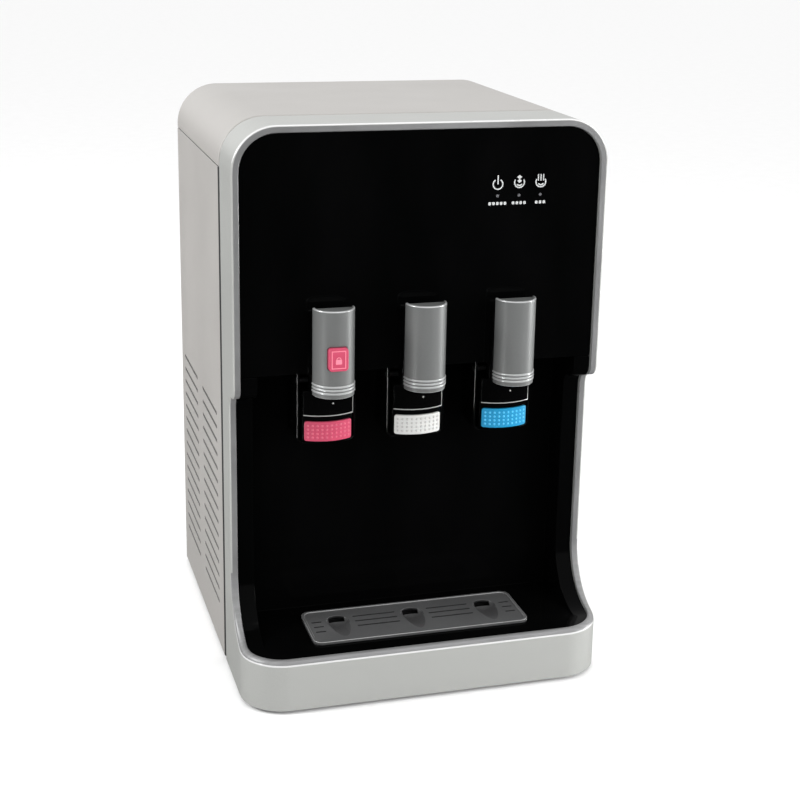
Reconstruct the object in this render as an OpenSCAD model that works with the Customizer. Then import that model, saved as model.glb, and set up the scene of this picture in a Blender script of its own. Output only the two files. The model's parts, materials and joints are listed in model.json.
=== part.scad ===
// Desktop water dispenser with three push-lever taps for hot, ambient and cold water.
// Millimetres. X runs to the right, Y to the back and Z up. The origin lies on the table, under the
// middle of the cabinet.

/* [Cabinet] */
// Width over the side panels
width = 310; // [306:1:330]
// Depth from the front of the base to the back edge
depth = 330; // [326:1:350]
// Height above the table
height = 472; // [468:1:500]
// How far the base stands out in front of the head
base_reach = 50; // [46:1:56]
// Depth of the front frame behind the front of the head
frame_depth = 55; // [54:1:58]
// Radius of the two rounded shoulders
shoulder_r = 36; // [28:1:40]
// Radius of the rounded front corners of the base
base_corner_r = 36; // [30:1:42]
// Wall of the top cover and the side panels
shell_wall = 2.5; // [2:0.1:3]
// Visible gap between the front frame and the panels behind it
seam_gap = 1.2; // [0.8:0.1:1.6]
// Height of the top cover above its joint with the side panels
top_cover_h = 40; // [38:1:46]
// Clearance between neighbouring casing parts
fit_gap = 0.3; // [0.2:0.05:0.4]

/* [Front frame] */
// Width of the bright rim round the black front
bezel_w = 6; // [5:0.5:7]
// Depth of the rim before the frame thins to its wall
bezel_depth = 8; // [7:0.5:9]
// Wall of the front frame
frame_wall = 3; // [2.5:0.1:3.2]
// Lower edge of the front frame above the table
apron_z = 3; // [2:0.5:3.5]
// Height of the rim of the base
rim_z = 47; // [45:0.5:49]
// How far the waist stands back from the head
waist_setback = 22; // [18:1:24]
// Height at which the head starts to curve back to the waist
ledge_top_z = 264; // [260:1:268]
// Radius of the sweep from the waist down to the base
sweep_r = 50; // [44:1:56]

/* [Front panel and alcove] */
// Depth of the black front behind the rim
panel_recess = 2.5; // [2:0.25:3]
// Thickness of the front panel
panel_t = 3; // [2.5:0.1:3.2]
// Lower edge of the front panel
lip_z = 272; // [271:0.5:275]
// Depth of the alcove's back wall behind the front of the head
alcove_depth = 50; // [49:0.5:51]
// Width of the black border between the rim and the alcove
border_w = 13.7; // [10:0.1:18]
// Wall of the alcove liner
liner_wall = 2.5; // [2:0.1:3]
// Step from the rim of the base down to the alcove floor
floor_drop = 1; // [0.5:0.1:2]
// Thickness of the alcove floor
floor_t = 4; // [3.6:0.1:4.5]

/* [Taps] */
// Distance between neighbouring taps
tap_pitch = 76; // [72:1:84]
// Radius of the half-round spout covers
cover_r = 17; // [16.5:0.25:18]
// Wall of the spout covers
cover_wall = 2; // [1.6:0.1:2.2]
// Height of the lower edge of the spout covers
cover_bottom_z = 258; // [257.5:0.5:260]
// Height of the spout covers
cover_h = 71.5; // [68:0.5:76]
// How far the back of the spout covers stands out from the head
boss_reach = 8; // [7:0.5:9]
// Depth of the hollow in the top of a spout cover
cover_dish = 1; // [0.8:0.1:2]
// Number of ribs round the foot of a spout cover
rib_count = 3; // [2:1:4]
// Distance between ribs
rib_pitch = 2.75; // [2.5:0.25:3]
// Outlet nozzle radius
nozzle_r = 4.5; // [4:0.1:4.6]
// Outlet nozzle bore radius
nozzle_bore_r = 3; // [2.5:0.1:3.2]
// Width of the push levers
lever_w = 41.5; // [40:0.5:42]
// Height of the lower edge of the push levers
lever_bottom_z = 212.4; // [212:0.2:214]
// Radius of the bulged face of the grip pads
grip_r = 38; // [36:0.5:40]
// Width of the grip pads
grip_w = 40; // [38:0.5:40.5]
// Height of the grip pads
grip_h = 16.8; // [15:0.2:18]
// Thickness of the grip pads
grip_t = 2; // [1.6:0.1:2.4]
// Width of the tap housings
housing_w = 49.4; // [49:0.2:51]
// Wall of the tap housings
housing_wall = 2.5; // [2:0.1:2.6]
// Radius of the lever pins
pin_r = 2; // [1.8:0.05:2.1]
// Radius of the valve plungers
plunger_r = 2.5; // [2.2:0.1:2.8]
// Width of the child-lock button
button_w = 16; // [14:0.5:16.5]
// Height of the child-lock button
button_h = 19; // [17:0.5:20]
// How far the child-lock button stands out of its spout cover
button_proud = 2.2; // [2.1:0.1:2.6]

/* [Drip tray] */
// Width of the drip grille
grille_w = 188; // [180:1:196]
// Depth of the drip grille
grille_d = 60; // [56:1:62]
// Thickness of the drip grille
grille_t = 2.5; // [2:0.1:3]
// Corner radius of the drip grille
grille_corner_r = 8; // [6:0.5:10]
// Depth of the drip tray below its flange
tray_h = 20; // [16:1:22]
// Wall of the drip tray
tray_wall = 2; // [1.6:0.1:2.4]
// Width of the three drain scoops in the grille
scoop_w = 20; // [18:0.5:22]
// Distance between the drain scoops
scoop_pitch = 65.5; // [62:0.5:68]

/* [Louvres] */
// Number of louvre slots in a column
louvre_rows = 15; // [10:1:15]
// Distance between louvre slots
louvre_pitch = 12.4; // [11:0.2:13]
// Height of a louvre slot
louvre_h = 3; // [2:0.25:4]
// Length of a louvre slot
louvre_len = 77; // [60:1:80]
// Height of the top louvre slot
louvre_top_z = 217; // [210:1:225]

/* [Tanks] */
// Radius of the cold tank
cold_tank_r = 58; // [54:1:60]
// Room left above the cold tank for its lid and hoses
tank_headroom = 65; // [60:1:72]
// Thickness of the cold tank's insulation
insulation_t = 11; // [9:0.5:12]
// Radius of the hot tank
hot_tank_r = 52; // [48:1:54]
// Height of the hot tank
hot_tank_h = 130; // [120:1:136]
// Sheet thickness of both tanks
tank_sheet = 1; // [0.8:0.1:1.4]

/* [Cooling] */
// Radius of the compressor shell
compressor_r = 60; // [56:1:62]
// Height of the compressor shell
compressor_h = 132; // [120:1:140]
// Number of condenser tube runs
condenser_runs = 10; // [8:2:10]
// Number of condenser wires
condenser_wires = 24; // [16:2:26]

/* [Rear fittings] */
// Bore radius of the water inlet, for quarter-inch tube
inlet_bore_r = 3.2; // [3.1:0.05:3.3]
// Depth of the water inlet bore
inlet_bore_len = 15; // [12:1:16]
// Bore radius of the drain pipe
drain_bore_r = 4; // [3.5:0.1:4.5]
// Radius of the rubber feet
foot_r = 13; // [10:0.5:15]
// Width of a rocker switch
rocker_w = 11; // [10:0.5:12]

/* [Hidden] */
$fn = 48;

// Overshoot of cuts, and length of stock that is always longer than what it is cut from
cut = 1;
over = 20;

// Rows and planes of the casing
base_front_y = -depth / 2;
back_y = depth / 2;
head_y = base_front_y + base_reach;
waist_y = head_y + waist_setback;
seam_y = head_y + frame_depth;
panel_y = head_y + panel_recess;
panel_back_y = panel_y + panel_t;
alcove_y = head_y + alcove_depth;
alcove_back_y = alcove_y + liner_wall;
ledge_r = waist_setback / 2;
ledge_mid_z = ledge_top_z - ledge_r;
ledge_bottom_z = ledge_top_z - waist_setback;
sweep_top_z = rim_z + sweep_r;
floor_z = rim_z - floor_drop;
floor_bottom_z = floor_z - floor_t;
ceiling_top_z = lip_z + liner_wall;
side_top_z = height - top_cover_h;
inner_half_w = width / 2 - shell_wall;
liner_half_w = width / 2 - bezel_w - fit_gap;
alcove_w = 2 * (liner_half_w - border_w);
border_depth = 12;
strip_back_y = waist_y + border_depth;
seat_gap = 0.3;

// Base plate and feet
plate_gap = 1;
plate_z = apron_z + plate_gap;
plate_t = 2;
plate_top_z = plate_z + plate_t;
foot_inset_x = 36;
foot_inset_front = 42;
foot_inset_back = 36;
foot_x = width / 2 - foot_inset_x;
foot_front_y = base_front_y + foot_inset_front;
foot_back_y = back_y - foot_inset_back;
foot_stem_r = 5;
foot_stem_clear = 0.2;

// Tongue behind the seam
tongue_t = 1.5;
tongue_reach = 8;
tongue_root = 4;
tongue_inset = frame_wall + fit_gap;

// Rear panel and the recess behind it
rear_recess = 15;
rear_sheet = 1.5;
rear_y = back_y - rear_recess;
rear_face_y = rear_y + rear_sheet;
rear_vent_x = -15;
rear_vent_w = 84;
rear_vent_h = 3;
rear_vent_rows = 6;
rear_vent_pitch = 10;
rear_vent_z = 90;

// Spouts and valves
tap_xs = [-tap_pitch, 0, tap_pitch];
cover_y = head_y - boss_reach;
cover_top_z = cover_bottom_z + cover_h;
boss_gap = 0.2;
boss_side = 0.8;
boss_drop = 5;
rib_out = 0.6;
rib_h = 1.4;
rib_first_z = 3.4;
cover_rim = 2;
cover_roof = 2;
nozzle_inset = 3;
nozzle_recess = 1.5;
nozzle_y = cover_y - nozzle_inset;
nozzle_bottom_z = cover_bottom_z + nozzle_recess;
valve_w = 22;
valve_h = 26;
valve_lift = 12;
valve_bottom_z = lip_z + valve_lift;
valve_top_z = valve_bottom_z + valve_h;
pipe_drop = 8;
pipe_z = valve_top_z - pipe_drop;
pipe_r = 4;
pipe_bore_r = 2.5;
channel_top = 2;
barb_h = 12;
barb_inset = 6.8;
barb_y = panel_back_y + barb_inset;

// Push levers and plungers
pivot_setback = 20;
pivot_drop = 10;
pivot_y = head_y + pivot_setback;
pivot_z = lip_z - pivot_drop;
arm_rise = 30;
arm_setback = 10;
plunger_z = pivot_z + arm_rise;
nub_r = 3;
nub_y = pivot_y + arm_setback;
nub_w = 10;
touch_gap = 0.4;
plunger_head_t = 2;
plunger_head_r = 4.2;
plunger_stroke = 4.3;
plunger_spare = 1.4;
plunger_hold = 5.8;
bore_spare = 0.8;
plunger_back_y = nub_y - nub_r - touch_gap;
valve_back_y = plunger_back_y - plunger_head_t - plunger_stroke - plunger_spare;
plunger_front_y = valve_back_y - plunger_hold;
plunger_bore_y = plunger_front_y - plunger_stroke - bore_spare;
run_clear = 0.06;
lever_h = 43.6;
lever_step = 22.6;
lever_setback = 3.2;
lever_wall = 3;
lever_brow = 1;
lever_top_z = lever_bottom_z + lever_h;
lever_step_z = lever_bottom_z + lever_step;
lever_axis_y = head_y + lever_setback + grip_r;
lever_step_r = grip_r + lever_brow;
lever_seat_r = grip_r - grip_t;
lever_back_r = lever_seat_r - lever_wall;
grip_gap = 0.05;
grip_lift = 0.8;
grip_z = lever_bottom_z + grip_lift;
hub_r = 5;
hub_half = 14;
gusset_t = 2.5;
gusset_h = 14;
arm_t = 3;

// Tap housings
housing_setback = 14.3;
housing_drop = 4;
housing_y = head_y + housing_setback;
housing_back_y = alcove_y - fit_gap;
housing_bottom_z = lever_bottom_z - housing_drop;
housing_top_z = lip_z - fit_gap;
housing_corner_r = 6;
housing_back_t = 2;
housing_in_half = housing_w / 2 - housing_wall;
slot_y0 = housing_y + fit_gap;
slot_y1 = housing_back_y - housing_back_t - fit_gap;

// Lever springs, wound round the lever pins
spring_wire_r = 0.5;
spring_clear = 0.8;
spring_coil_r = pin_r + spring_clear + spring_wire_r;
spring_turns = 4;
spring_pitch = 1.5;
spring_x = hub_half + spring_wire_r + touch_gap;
spring_sides = 6;
spring_rings = 8;

// Child-lock button in the hot spout cover
button_lift = 33;
button_z = cover_bottom_z + button_lift;
button_clear = 0.35;
button_flange_t = 1.4;
button_flange_w = 1.5;
button_flange_gap = 0.5;
button_corner_r = 3;
button_edge_x = button_w / 2 + button_flange_w;
button_wall_y = cover_y - sqrt(pow(cover_r - cover_wall, 2) - pow(button_edge_x, 2));
button_flange_y = button_wall_y + button_flange_gap;

// Indicators
icon_inset = 93.5;
icon_drop = 61;
icon_pitch = 18.3;
icon_x = width / 2 - icon_inset;
icon_xs = [for (i = [0:2]) icon_x + i * icon_pitch];
lens_z = height - icon_drop;
lens_r = 1.2;
lens_clear = 0.08;
lens_tail = 1.7;
lens_back_y = panel_back_y + lens_tail;
board_t = 1.6;
led_board_w = 60;
led_board_h = 34;
led_board_lift = 4;

// Drip tray and grille
grille_setback = 5;
grille_y = head_y + grille_setback;
rebate_depth = 2;
rebate_clear = 0.5;
flange_t = 1.5;
flange_clear = 0.2;
flange_w = 5;
tray_clear = 0.6;
tray_flange_z = floor_z - rebate_depth;
grille_z = tray_flange_z + flange_t + fit_gap;
tray_floor_z = tray_flange_z - tray_h;
grille_slot_h = 1.8;
grille_slot_pitch = 9;
grille_slot_rows = 3;
grille_slot_shift = 4;
grille_end_slot = 9;
grille_slot_gap = 4;
grille_rim = 2.4;
grille_dip = 0.7;
grille_face_z = grille_z + grille_t - grille_dip;
scoop_depth = 5.5;
scoop_wall = 1.6;
scoop_tilt = 11;
scoop_run = 40;
scoop_setback = 8;
scoop_drain_w = 14;
scoop_drain_run = 4;
scoop_drain_lip = 0.2;
scoop_r = (pow(scoop_w / 2, 2) + pow(scoop_depth, 2)) / (2 * scoop_depth);
scoop_y = grille_y + scoop_setback;

// Louvre columns
louvre_inset = 17;
louvre_step = 104;
louvre_back_y0 = back_y - louvre_inset - louvre_len;
louvre_front_y0 = louvre_back_y0 - louvre_step;
vane_t = 1.2;
vane_reach = 5;
louvre_eye = 7;

// Tank shelf, with the rail under it and the ears for the rear screws on each side panel
shelf_t = 1.5;
shelf_lap = 4;
shelf_z = ceiling_top_z + fit_gap;
shelf_top_z = shelf_z + shelf_t;
shelf_y0 = alcove_y - shelf_lap;
shelf_y1 = rear_y - fit_gap;
shelf_half_w = width / 2 - tongue_inset - tongue_t - fit_gap;
hose_hole_r = 9;
rail_w = 10;
rail_t = 4;
rail_start = 20;
rail_end = 10;
rail_y0 = shelf_y0 + rail_start;
rail_y1 = shelf_y1 - rail_end;
ear_w = 12;
ear_t = 8;

// Cold tank and what goes round it
coil_r = 3;
coil_turns = 7;
coil_spare = 4;
coil_mid_r = cold_tank_r + seat_gap + coil_r;
insulation_in_r = coil_mid_r + coil_r + seat_gap;
insulation_r = insulation_in_r + insulation_t;
insulation_floor = 12;
insulation_side = 4;
tank_setback = 38;
cold_x = inner_half_w - insulation_r - insulation_side;
cold_y = tank_setback;
cold_z = shelf_top_z + seat_gap + insulation_floor + seat_gap;
cold_top_z = height - tank_headroom;
cold_tank_h = cold_top_z - cold_z;
coil_pitch = cold_tank_h / (coil_turns + coil_spare);
lid_t = 3;
lid_lip_h = 6;
stub_r = 5;
stub_h = 8;
feed_offset = 32;

// Hot tank
hot_side = 15.5;
hot_lift = 52;
hot_x = hot_tank_r + hot_side - inner_half_w;
hot_y = tank_setback;
hot_z = plate_top_z + hot_lift;
hot_top_z = hot_z + hot_tank_h;
hot_leg_r = 4;
hot_leg_inset = 10;
hot_leg_ring = hot_tank_r - hot_leg_inset;
heater_lift = 20;
heater_z = hot_z + heater_lift;
heater_h = 40;
heater_t = 2;
heater_block = [20, 12, 18];
thermostat_r = 8;
thermostat_t = 6;
thermostat_drop = 22;
thermostat_zs = [hot_top_z - 2 * thermostat_drop, hot_top_z - thermostat_drop];

// Compressor
compressor_side = 1.5;
compressor_setback = 48;
compressor_lift = 8;
compressor_foot = [150, 96];
compressor_foot_t = 3;
compressor_foot_trim = 4;
compressor_x = inner_half_w - compressor_foot.x / 2 - compressor_side;
compressor_y = compressor_setback;
compressor_foot_z = plate_top_z + compressor_lift;
compressor_dome_h = 34;
compressor_neck_r = 26;
compressor_wall = 16;
compressor_void_h = compressor_h - compressor_dome_h;
compressor_z = compressor_foot_z + compressor_foot_t;
grommet_r = 9;
grommet_neck_r = 4.6;
grommet_hole_r = 5;
grommet_inset = 11;
grommet_lip = 2;
grommet_step = compressor_foot.x / 2 - compressor_foot_trim - grommet_inset;

// Condenser and refrigerant lines
condenser_tube_r = 2.4;
condenser_z = 178;
condenser_drop = 78;
condenser_side = 36.5;
condenser_inset = 6.5;
condenser_half = inner_half_w - condenser_side;
condenser_y = back_y - condenser_inset;
condenser_top_z = height - condenser_drop;
condenser_pitch = (condenser_top_z - condenser_z) / (condenser_runs - 1);
wire_w = 1.5;
wire_gap = 0.2;
bracket_w = 14;
bracket_inset = 20;
bracket_x = condenser_half - bracket_inset;
line_r = 3;
line_hole_r = 4;
discharge_step = 36;
discharge_lift = 80;
suction_step = 30;
suction_inset = 22;
suction_lift = 24;
liquid_drop = 16;
discharge_x = compressor_x + discharge_step;
discharge_z = compressor_z + discharge_lift;
suction_x = compressor_x - suction_step;
suction_y = rear_y - suction_inset;
suction_z = shelf_top_z + suction_lift;
liquid_z = condenser_top_z - liquid_drop;

// Hoses
hose_r = 5.5;
hose_hot_step = 9;
hose_hot_setback = 38;
hose_hot_lift = 40;
hose_cold_lift = 35;
hose_ambient_lift = 32;
hose_hot_x = hot_x + hose_hot_step;
hose_hot_y = hot_y - hose_hot_setback;
hose_hot_z = valve_top_z + hose_hot_lift;
hose_cold_z = valve_top_z + hose_cold_lift;
hose_ambient_z = cold_top_z + hose_ambient_lift;

// Water inlet and drain
inlet_side = 60.5;
inlet_x = inlet_side - inner_half_w;
inlet_z = 130;
inlet_neck_r = 7.5;
inlet_neck_clear = 0.4;
inlet_inset = 2;
inlet_end_y = back_y - inlet_inset;
inlet_body = [38, 44, 42];
inlet_y = rear_y - fit_gap - inlet_body.y / 2;
drain_z = 30;
drain_r = 6.5;
drain_inset = 6;
drain_end_y = back_y - drain_inset;
drain_plug_clear = 0.05;
drain_plug_len = 16;
drain_plug_head_r = 9;
drain_plug_head_t = 5;

// Power panel with the mains inlet and two rockers
power_side = 74.5;
power_x = inner_half_w - power_side;
power_z = 60;
power_flange = [88, 30];
power_flange_t = 2.2;
power_body = [80, 22];
power_body_len = 20;
socket_step = 22;
socket_x = power_x + socket_step;
socket = [26, 18];
socket_depth = 15;
socket_corner_r = 2.5;
pin_blade = [2, 4];
pin_len = 8;
pin_spread = 7;
pin_rise = 2;
rocker_step = 29;
rocker_pitch = 18;
rocker_xs = [for (i = [0:1]) power_x - rocker_step + i * rocker_pitch];
rocker_r = 8;
rocker_out = 2;
rocker_y = rear_face_y + rocker_out;
rocker_clear = 0.4;
rocker_tilt = 8;
rocker_face = 4.5;

// Control board
pcb_side = 42;
pcb_setback = -20;
pcb_x = pcb_side - shelf_half_w;
pcb_y = pcb_setback;
pcb_len = 110;
pcb_h = 84;
pcb_foot = [16, 90, 4];

// Rear panel screws
screw_head_r = 3.5;
screw_head_t = 2;
screw_r = 1.7;
screw_clear = 0.3;
screw_pilot_clear = 0.05;
screw_len = 7;
screw_inset = 9;
screw_drop = 12;
screw_x = inner_half_w - screw_inset;
screw_zs = [24, 160, 300, side_top_z - screw_drop];

// Carries a shape drawn in y and z along X, centred on x = 0
module along_x(length) {
    rotate([90, 0, 90]) translate([0, 0, -length / 2]) linear_extrude(length) children();
}

// Carries a shape drawn in x and z along Y, from y0 to y1
module along_y(y0, y1) {
    translate([0, y1, 0]) rotate([90, 0, 0]) linear_extrude(y1 - y0) children();
}

// Carries a shape drawn in x and y upwards, from z0 to z1
module along_z(z0, z1) {
    translate([0, 0, z0]) linear_extrude(z1 - z0) children();
}

// A box between two corners
module box(low, high) {
    translate(low) cube(high - low);
}

// A round bar from y0 to y1
module bar_y(x, z, r, y0, y1) {
    translate([x, y0, z]) rotate([-90, 0, 0]) cylinder(h = y1 - y0, r = r);
}

// A round bar along X, centred on x
module bar_x(x, y, z, r, length) {
    translate([x - length / 2, y, z]) rotate([0, 90, 0]) cylinder(h = length, r = r);
}

// A rectangle between two corners, with round corners
module round_rect(low, high, r) {
    translate([low.x + r, low.y]) square([high.x - low.x - 2 * r, high.y - low.y]);
    translate([low.x, low.y + r]) square([high.x - low.x, high.y - low.y - 2 * r]);
    for (x = [low.x + r, high.x - r], y = [low.y + r, high.y - r])
        translate([x, y]) circle(r);
}

// A slot with round ends from u0 to u1, centred on v
module slot(u0, u1, v, h) {
    translate([u0 + h / 2, v - h / 2]) square([u1 - u0 - h, h]);
    for (u = [u0 + h / 2, u1 - h / 2])
        translate([u, v]) circle(h / 2);
}

// A bent tube through a list of points
module tube_path(points, r) {
    for (i = [0:len(points) - 2]) {
        step = points[i + 1] - points[i];
        translate(points[i])
            rotate([0, acos(step.z / norm(step)), atan2(step.y, step.x)])
                cylinder(h = norm(step), r = r);
    }
    for (i = [1:len(points) - 2])
        translate(points[i]) sphere(r);
}

// Points of one ring of a coil that winds along X
function coil_ring(i, coil_r, wire_r, pitch, sides, rings) =
    let (turn = 360 * i / rings, rise = pitch * i / rings)
    [for (k = [0:sides - 1])
        let (a = 360 * k / sides, out = coil_r + wire_r * cos(a))
        [rise + wire_r * sin(a), out * cos(turn), out * sin(turn)]];

// An open coil of round wire that winds along X
module coil(coil_r, wire_r, pitch, turns, sides, rings) {
    last = turns * rings;
    points = [for (i = [0:last]) each coil_ring(i, coil_r, wire_r, pitch, sides, rings)];
    around = [for (i = [0:last - 1], k = [0:sides - 1])
        let (a = i * sides + k, b = i * sides + (k + 1) % sides)
        each [[a, a + sides, b], [b, a + sides, b + sides]]];
    start_cap = [for (k = [1:sides - 2]) [0, k, k + 1]];
    end_cap = [for (k = [1:sides - 2]) [last * sides, last * sides + k + 1, last * sides + k]];
    polyhedron(points, concat(around, start_cap, end_cap));
}

// Outline of the cabinet from the front, drawn in by an inset, with two round shoulders
module front_outline(inset) {
    r = shoulder_r - inset;
    half = width / 2 - inset;
    translate([-half, -over]) square([2 * half, height - inset - r + over]);
    translate([r - half, -over]) square([2 * (half - r), height - inset + over]);
    for (side = [-1, 1])
        translate([side * (half - r), height - inset - r]) circle(r);
}

// Outline of the cabinet from above, drawn in by an inset, with two round front corners
module plan_outline(inset) {
    r = base_corner_r - inset;
    half = width / 2 - inset;
    front = base_front_y + inset;
    translate([-half, front + r]) square([2 * half, back_y - front - r]);
    translate([r - half, front]) square([2 * (half - r), back_y - front]);
    for (side = [-1, 1])
        translate([side * (half - r), front + r]) circle(r);
}

// Side view behind the front edge: head, ledge, waist, sweep and base
module side_profile() {
    translate([head_y, ledge_top_z]) square([back_y - head_y, height + over - ledge_top_z]);
    translate([head_y + ledge_r, ledge_mid_z]) square([back_y - head_y - ledge_r, ledge_r]);
    translate([head_y + ledge_r, ledge_top_z]) circle(ledge_r);
    difference() {
        translate([head_y + ledge_r, ledge_bottom_z]) square([back_y - head_y - ledge_r, ledge_r]);
        translate([head_y + ledge_r, ledge_bottom_z]) circle(ledge_r);
    }
    translate([waist_y, sweep_top_z]) square([back_y - waist_y, ledge_bottom_z - sweep_top_z]);
    difference() {
        translate([waist_y - sweep_r, rim_z]) square([back_y - waist_y + sweep_r, sweep_r]);
        translate([waist_y - sweep_r, sweep_top_z]) circle(sweep_r);
    }
    translate([base_front_y, -over]) square([depth, rim_z + over]);
}

// Side view drawn in by a wall on every side of its front edge
module side_hollow(wall) {
    intersection() {
        translate([wall, wall]) side_profile();
        translate([wall, -wall]) side_profile();
    }
}

// Side view of the black front, behind the rim, between two heights and in front of a plane
module black_profile(z0, z1, y1) {
    intersection() {
        translate([panel_recess, -floor_drop]) side_profile();
        translate([base_front_y, z0]) square([y1 - base_front_y, z1 - z0]);
    }
}

module front_frame() {
    color("#bdbbb7") difference() {
        intersection() {
            along_x(width) intersection() {
                side_profile();
                translate([base_front_y, apron_z]) square([seam_y - base_front_y, height]);
            }
            along_y(base_front_y, back_y) front_outline(0);
            along_z(0, height) plan_outline(0);
        }
        intersection() {
            along_y(base_front_y, back_y) front_outline(bezel_w);
            along_z(rim_z - bezel_depth, height) plan_outline(bezel_w);
        }
        intersection() {
            along_x(width) side_hollow(bezel_depth);
            along_y(base_front_y, back_y) front_outline(frame_wall);
            along_z(-over, height) plan_outline(frame_wall);
        }
        along_z(-over, rim_z - bezel_depth) plan_outline(frame_wall);
    }
}

module front_panel() {
    boss_half = cover_r + boss_side;
    color("#0c0c0e") difference() {
        union() {
            along_y(panel_y, panel_back_y) difference() {
                front_outline(bezel_w + fit_gap);
                translate([-width / 2, -over]) square([width, lip_z + over]);
            }
            for (x = tap_xs)
                box([x - boss_half, cover_y + boss_gap, cover_bottom_z],
                    [x + boss_half, panel_y + panel_t / 2, cover_top_z - boss_drop]);
        }
        for (x = tap_xs) {
            bar_y(x, pipe_z, pipe_r + fit_gap, cover_y, panel_back_y + over);
            translate([x, nozzle_y, 0]) cylinder(h = pipe_z + nozzle_r + channel_top, r = nozzle_r + fit_gap);
        }
        for (x = icon_xs)
            bar_y(x, lens_z, lens_r + lens_clear, head_y, panel_back_y + over);
    }
}

module alcove_liner() {
    strip_w = liner_half_w - alcove_w / 2;
    outer_half = alcove_w / 2 + liner_wall;
    strip_top_z = lip_z - fit_gap;
    color("#0a0a0c") difference() {
        union() {
            intersection() {
                for (side = [-1, 1]) {
                    translate([side * (alcove_w + strip_w) / 2, 0, 0])
                        along_x(strip_w) black_profile(floor_bottom_z, strip_top_z, strip_back_y);
                    translate([side * (alcove_w + liner_wall) / 2, 0, 0])
                        along_x(liner_wall) black_profile(floor_bottom_z, strip_top_z, alcove_back_y);
                }
                along_z(floor_bottom_z, lip_z) plan_outline(bezel_w + fit_gap);
            }
            box([-outer_half, alcove_y, floor_bottom_z], [outer_half, alcove_back_y, strip_top_z]);
            intersection() {
                along_z(floor_bottom_z, floor_z) plan_outline(bezel_w + fit_gap);
                box([-width / 2, base_front_y, 0], [width / 2, alcove_back_y, rim_z]);
            }
        }
        along_z(tray_flange_z, floor_z + over) tray_outline(rebate_clear);
        along_z(0, floor_z) tray_outline(tray_clear - flange_w);
    }
}

// Plate over the alcove, which carries the tap housings
module tap_plate() {
    half_w = alcove_w / 2 + liner_wall;
    color("#0a0a0c") difference() {
        box([-half_w, panel_back_y + fit_gap, lip_z], [half_w, alcove_back_y, ceiling_top_z]);
        for (x = tap_xs)
            box([x - housing_in_half, slot_y0, lip_z - cut],
                [x + housing_in_half, slot_y1, ceiling_top_z + cut]);
    }
}

// Outline of the grille, let out by a margin
module tray_outline(margin) {
    round_rect([-grille_w / 2 - margin, grille_y - grille_d / 2 - margin],
        [grille_w / 2 + margin, grille_y + grille_d / 2 + margin], grille_corner_r + min(margin, 0) / 2);
}

module drip_tray() {
    color("#141416") difference() {
        union() {
            along_z(tray_flange_z, tray_flange_z + flange_t) tray_outline(flange_clear);
            along_z(tray_floor_z, tray_flange_z + flange_t) tray_outline(-flange_w);
        }
        along_z(tray_floor_z + tray_wall, floor_z + over) tray_outline(-flange_w - tray_wall);
    }
}

// Scoop with a round back end that runs out towards the front, let out by a wall
module scoop(x, wall) {
    translate([x, scoop_y, grille_face_z - scoop_depth + scoop_r]) {
        sphere(scoop_r + wall);
        rotate([90 - scoop_tilt, 0, 0]) cylinder(h = scoop_run, r = scoop_r + wall);
    }
}

// Curved drain opening along the back of one hollow, out to a radius
module scoop_drain(x, r) {
    inner_r = scoop_w / 2 - scoop_drain_lip;
    translate([x, scoop_y]) intersection() {
        difference() {
            circle(r);
            translate([0, -scoop_drain_run]) circle(inner_r);
        }
        translate([-scoop_drain_w / 2, 0]) square([scoop_drain_w, r]);
    }
}

module drip_grille() {
    scoop_xs = [for (i = [-1:1]) i * scoop_pitch];
    slot_reach = scoop_w / 2 + grille_slot_gap;
    end_x = scoop_pitch + slot_reach;
    slot_span = (grille_slot_rows - 1) * grille_slot_pitch;
    rows = [for (i = [0:grille_slot_rows - 1]) grille_y - slot_span / 2 + i * grille_slot_pitch];
    color("#55575a") difference() {
        union() {
            along_z(grille_z, grille_z + grille_t) difference() {
                tray_outline(0);
                for (y = rows) {
                    for (i = [0, 1])
                        slot(scoop_xs[i] + slot_reach, scoop_xs[i + 1] - slot_reach,
                            y + grille_slot_shift, grille_slot_h);
                    slot(-end_x - grille_end_slot, -end_x, y, grille_slot_h);
                    slot(end_x, end_x + grille_end_slot, y, grille_slot_h);
                }
            }
            intersection() {
                for (x = scoop_xs)
                    scoop(x, scoop_wall);
                along_z(tray_floor_z, grille_z + grille_t / 2) tray_outline(-flange_w);
            }
        }
        along_z(grille_face_z, grille_face_z + over) tray_outline(-grille_rim);
        for (x = scoop_xs) {
            scoop(x, 0);
            along_z(tray_floor_z, grille_z) scoop_drain(x, scoop_w / 2 + scoop_wall);
            along_z(grille_z - cut, grille_face_z) scoop_drain(x, scoop_w / 2 - scoop_drain_lip);
        }
    }
}

// Closed ring of the casing behind the seam, seen from the front, with a tongue that covers the seam
module shell_ring() {
    along_y(seam_y + seam_gap, back_y) difference() {
        front_outline(0);
        front_outline(shell_wall);
    }
    along_y(seam_y + seam_gap, seam_y + seam_gap + tongue_root) difference() {
        front_outline(shell_wall / 2);
        front_outline(tongue_inset + tongue_t);
        translate([-width / 2, -over]) square([width, plate_top_z + fit_gap + over]);
    }
    along_y(seam_y - tongue_reach, seam_y + seam_gap + tongue_root) difference() {
        front_outline(tongue_inset);
        front_outline(tongue_inset + tongue_t);
        translate([-width / 2, -over]) square([width, plate_top_z + fit_gap + over]);
    }
}

module top_cover() {
    color("#c8c6c2") intersection() {
        shell_ring();
        box([-width / 2, base_front_y, side_top_z], [width / 2, back_y, height]);
    }
}

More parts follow.
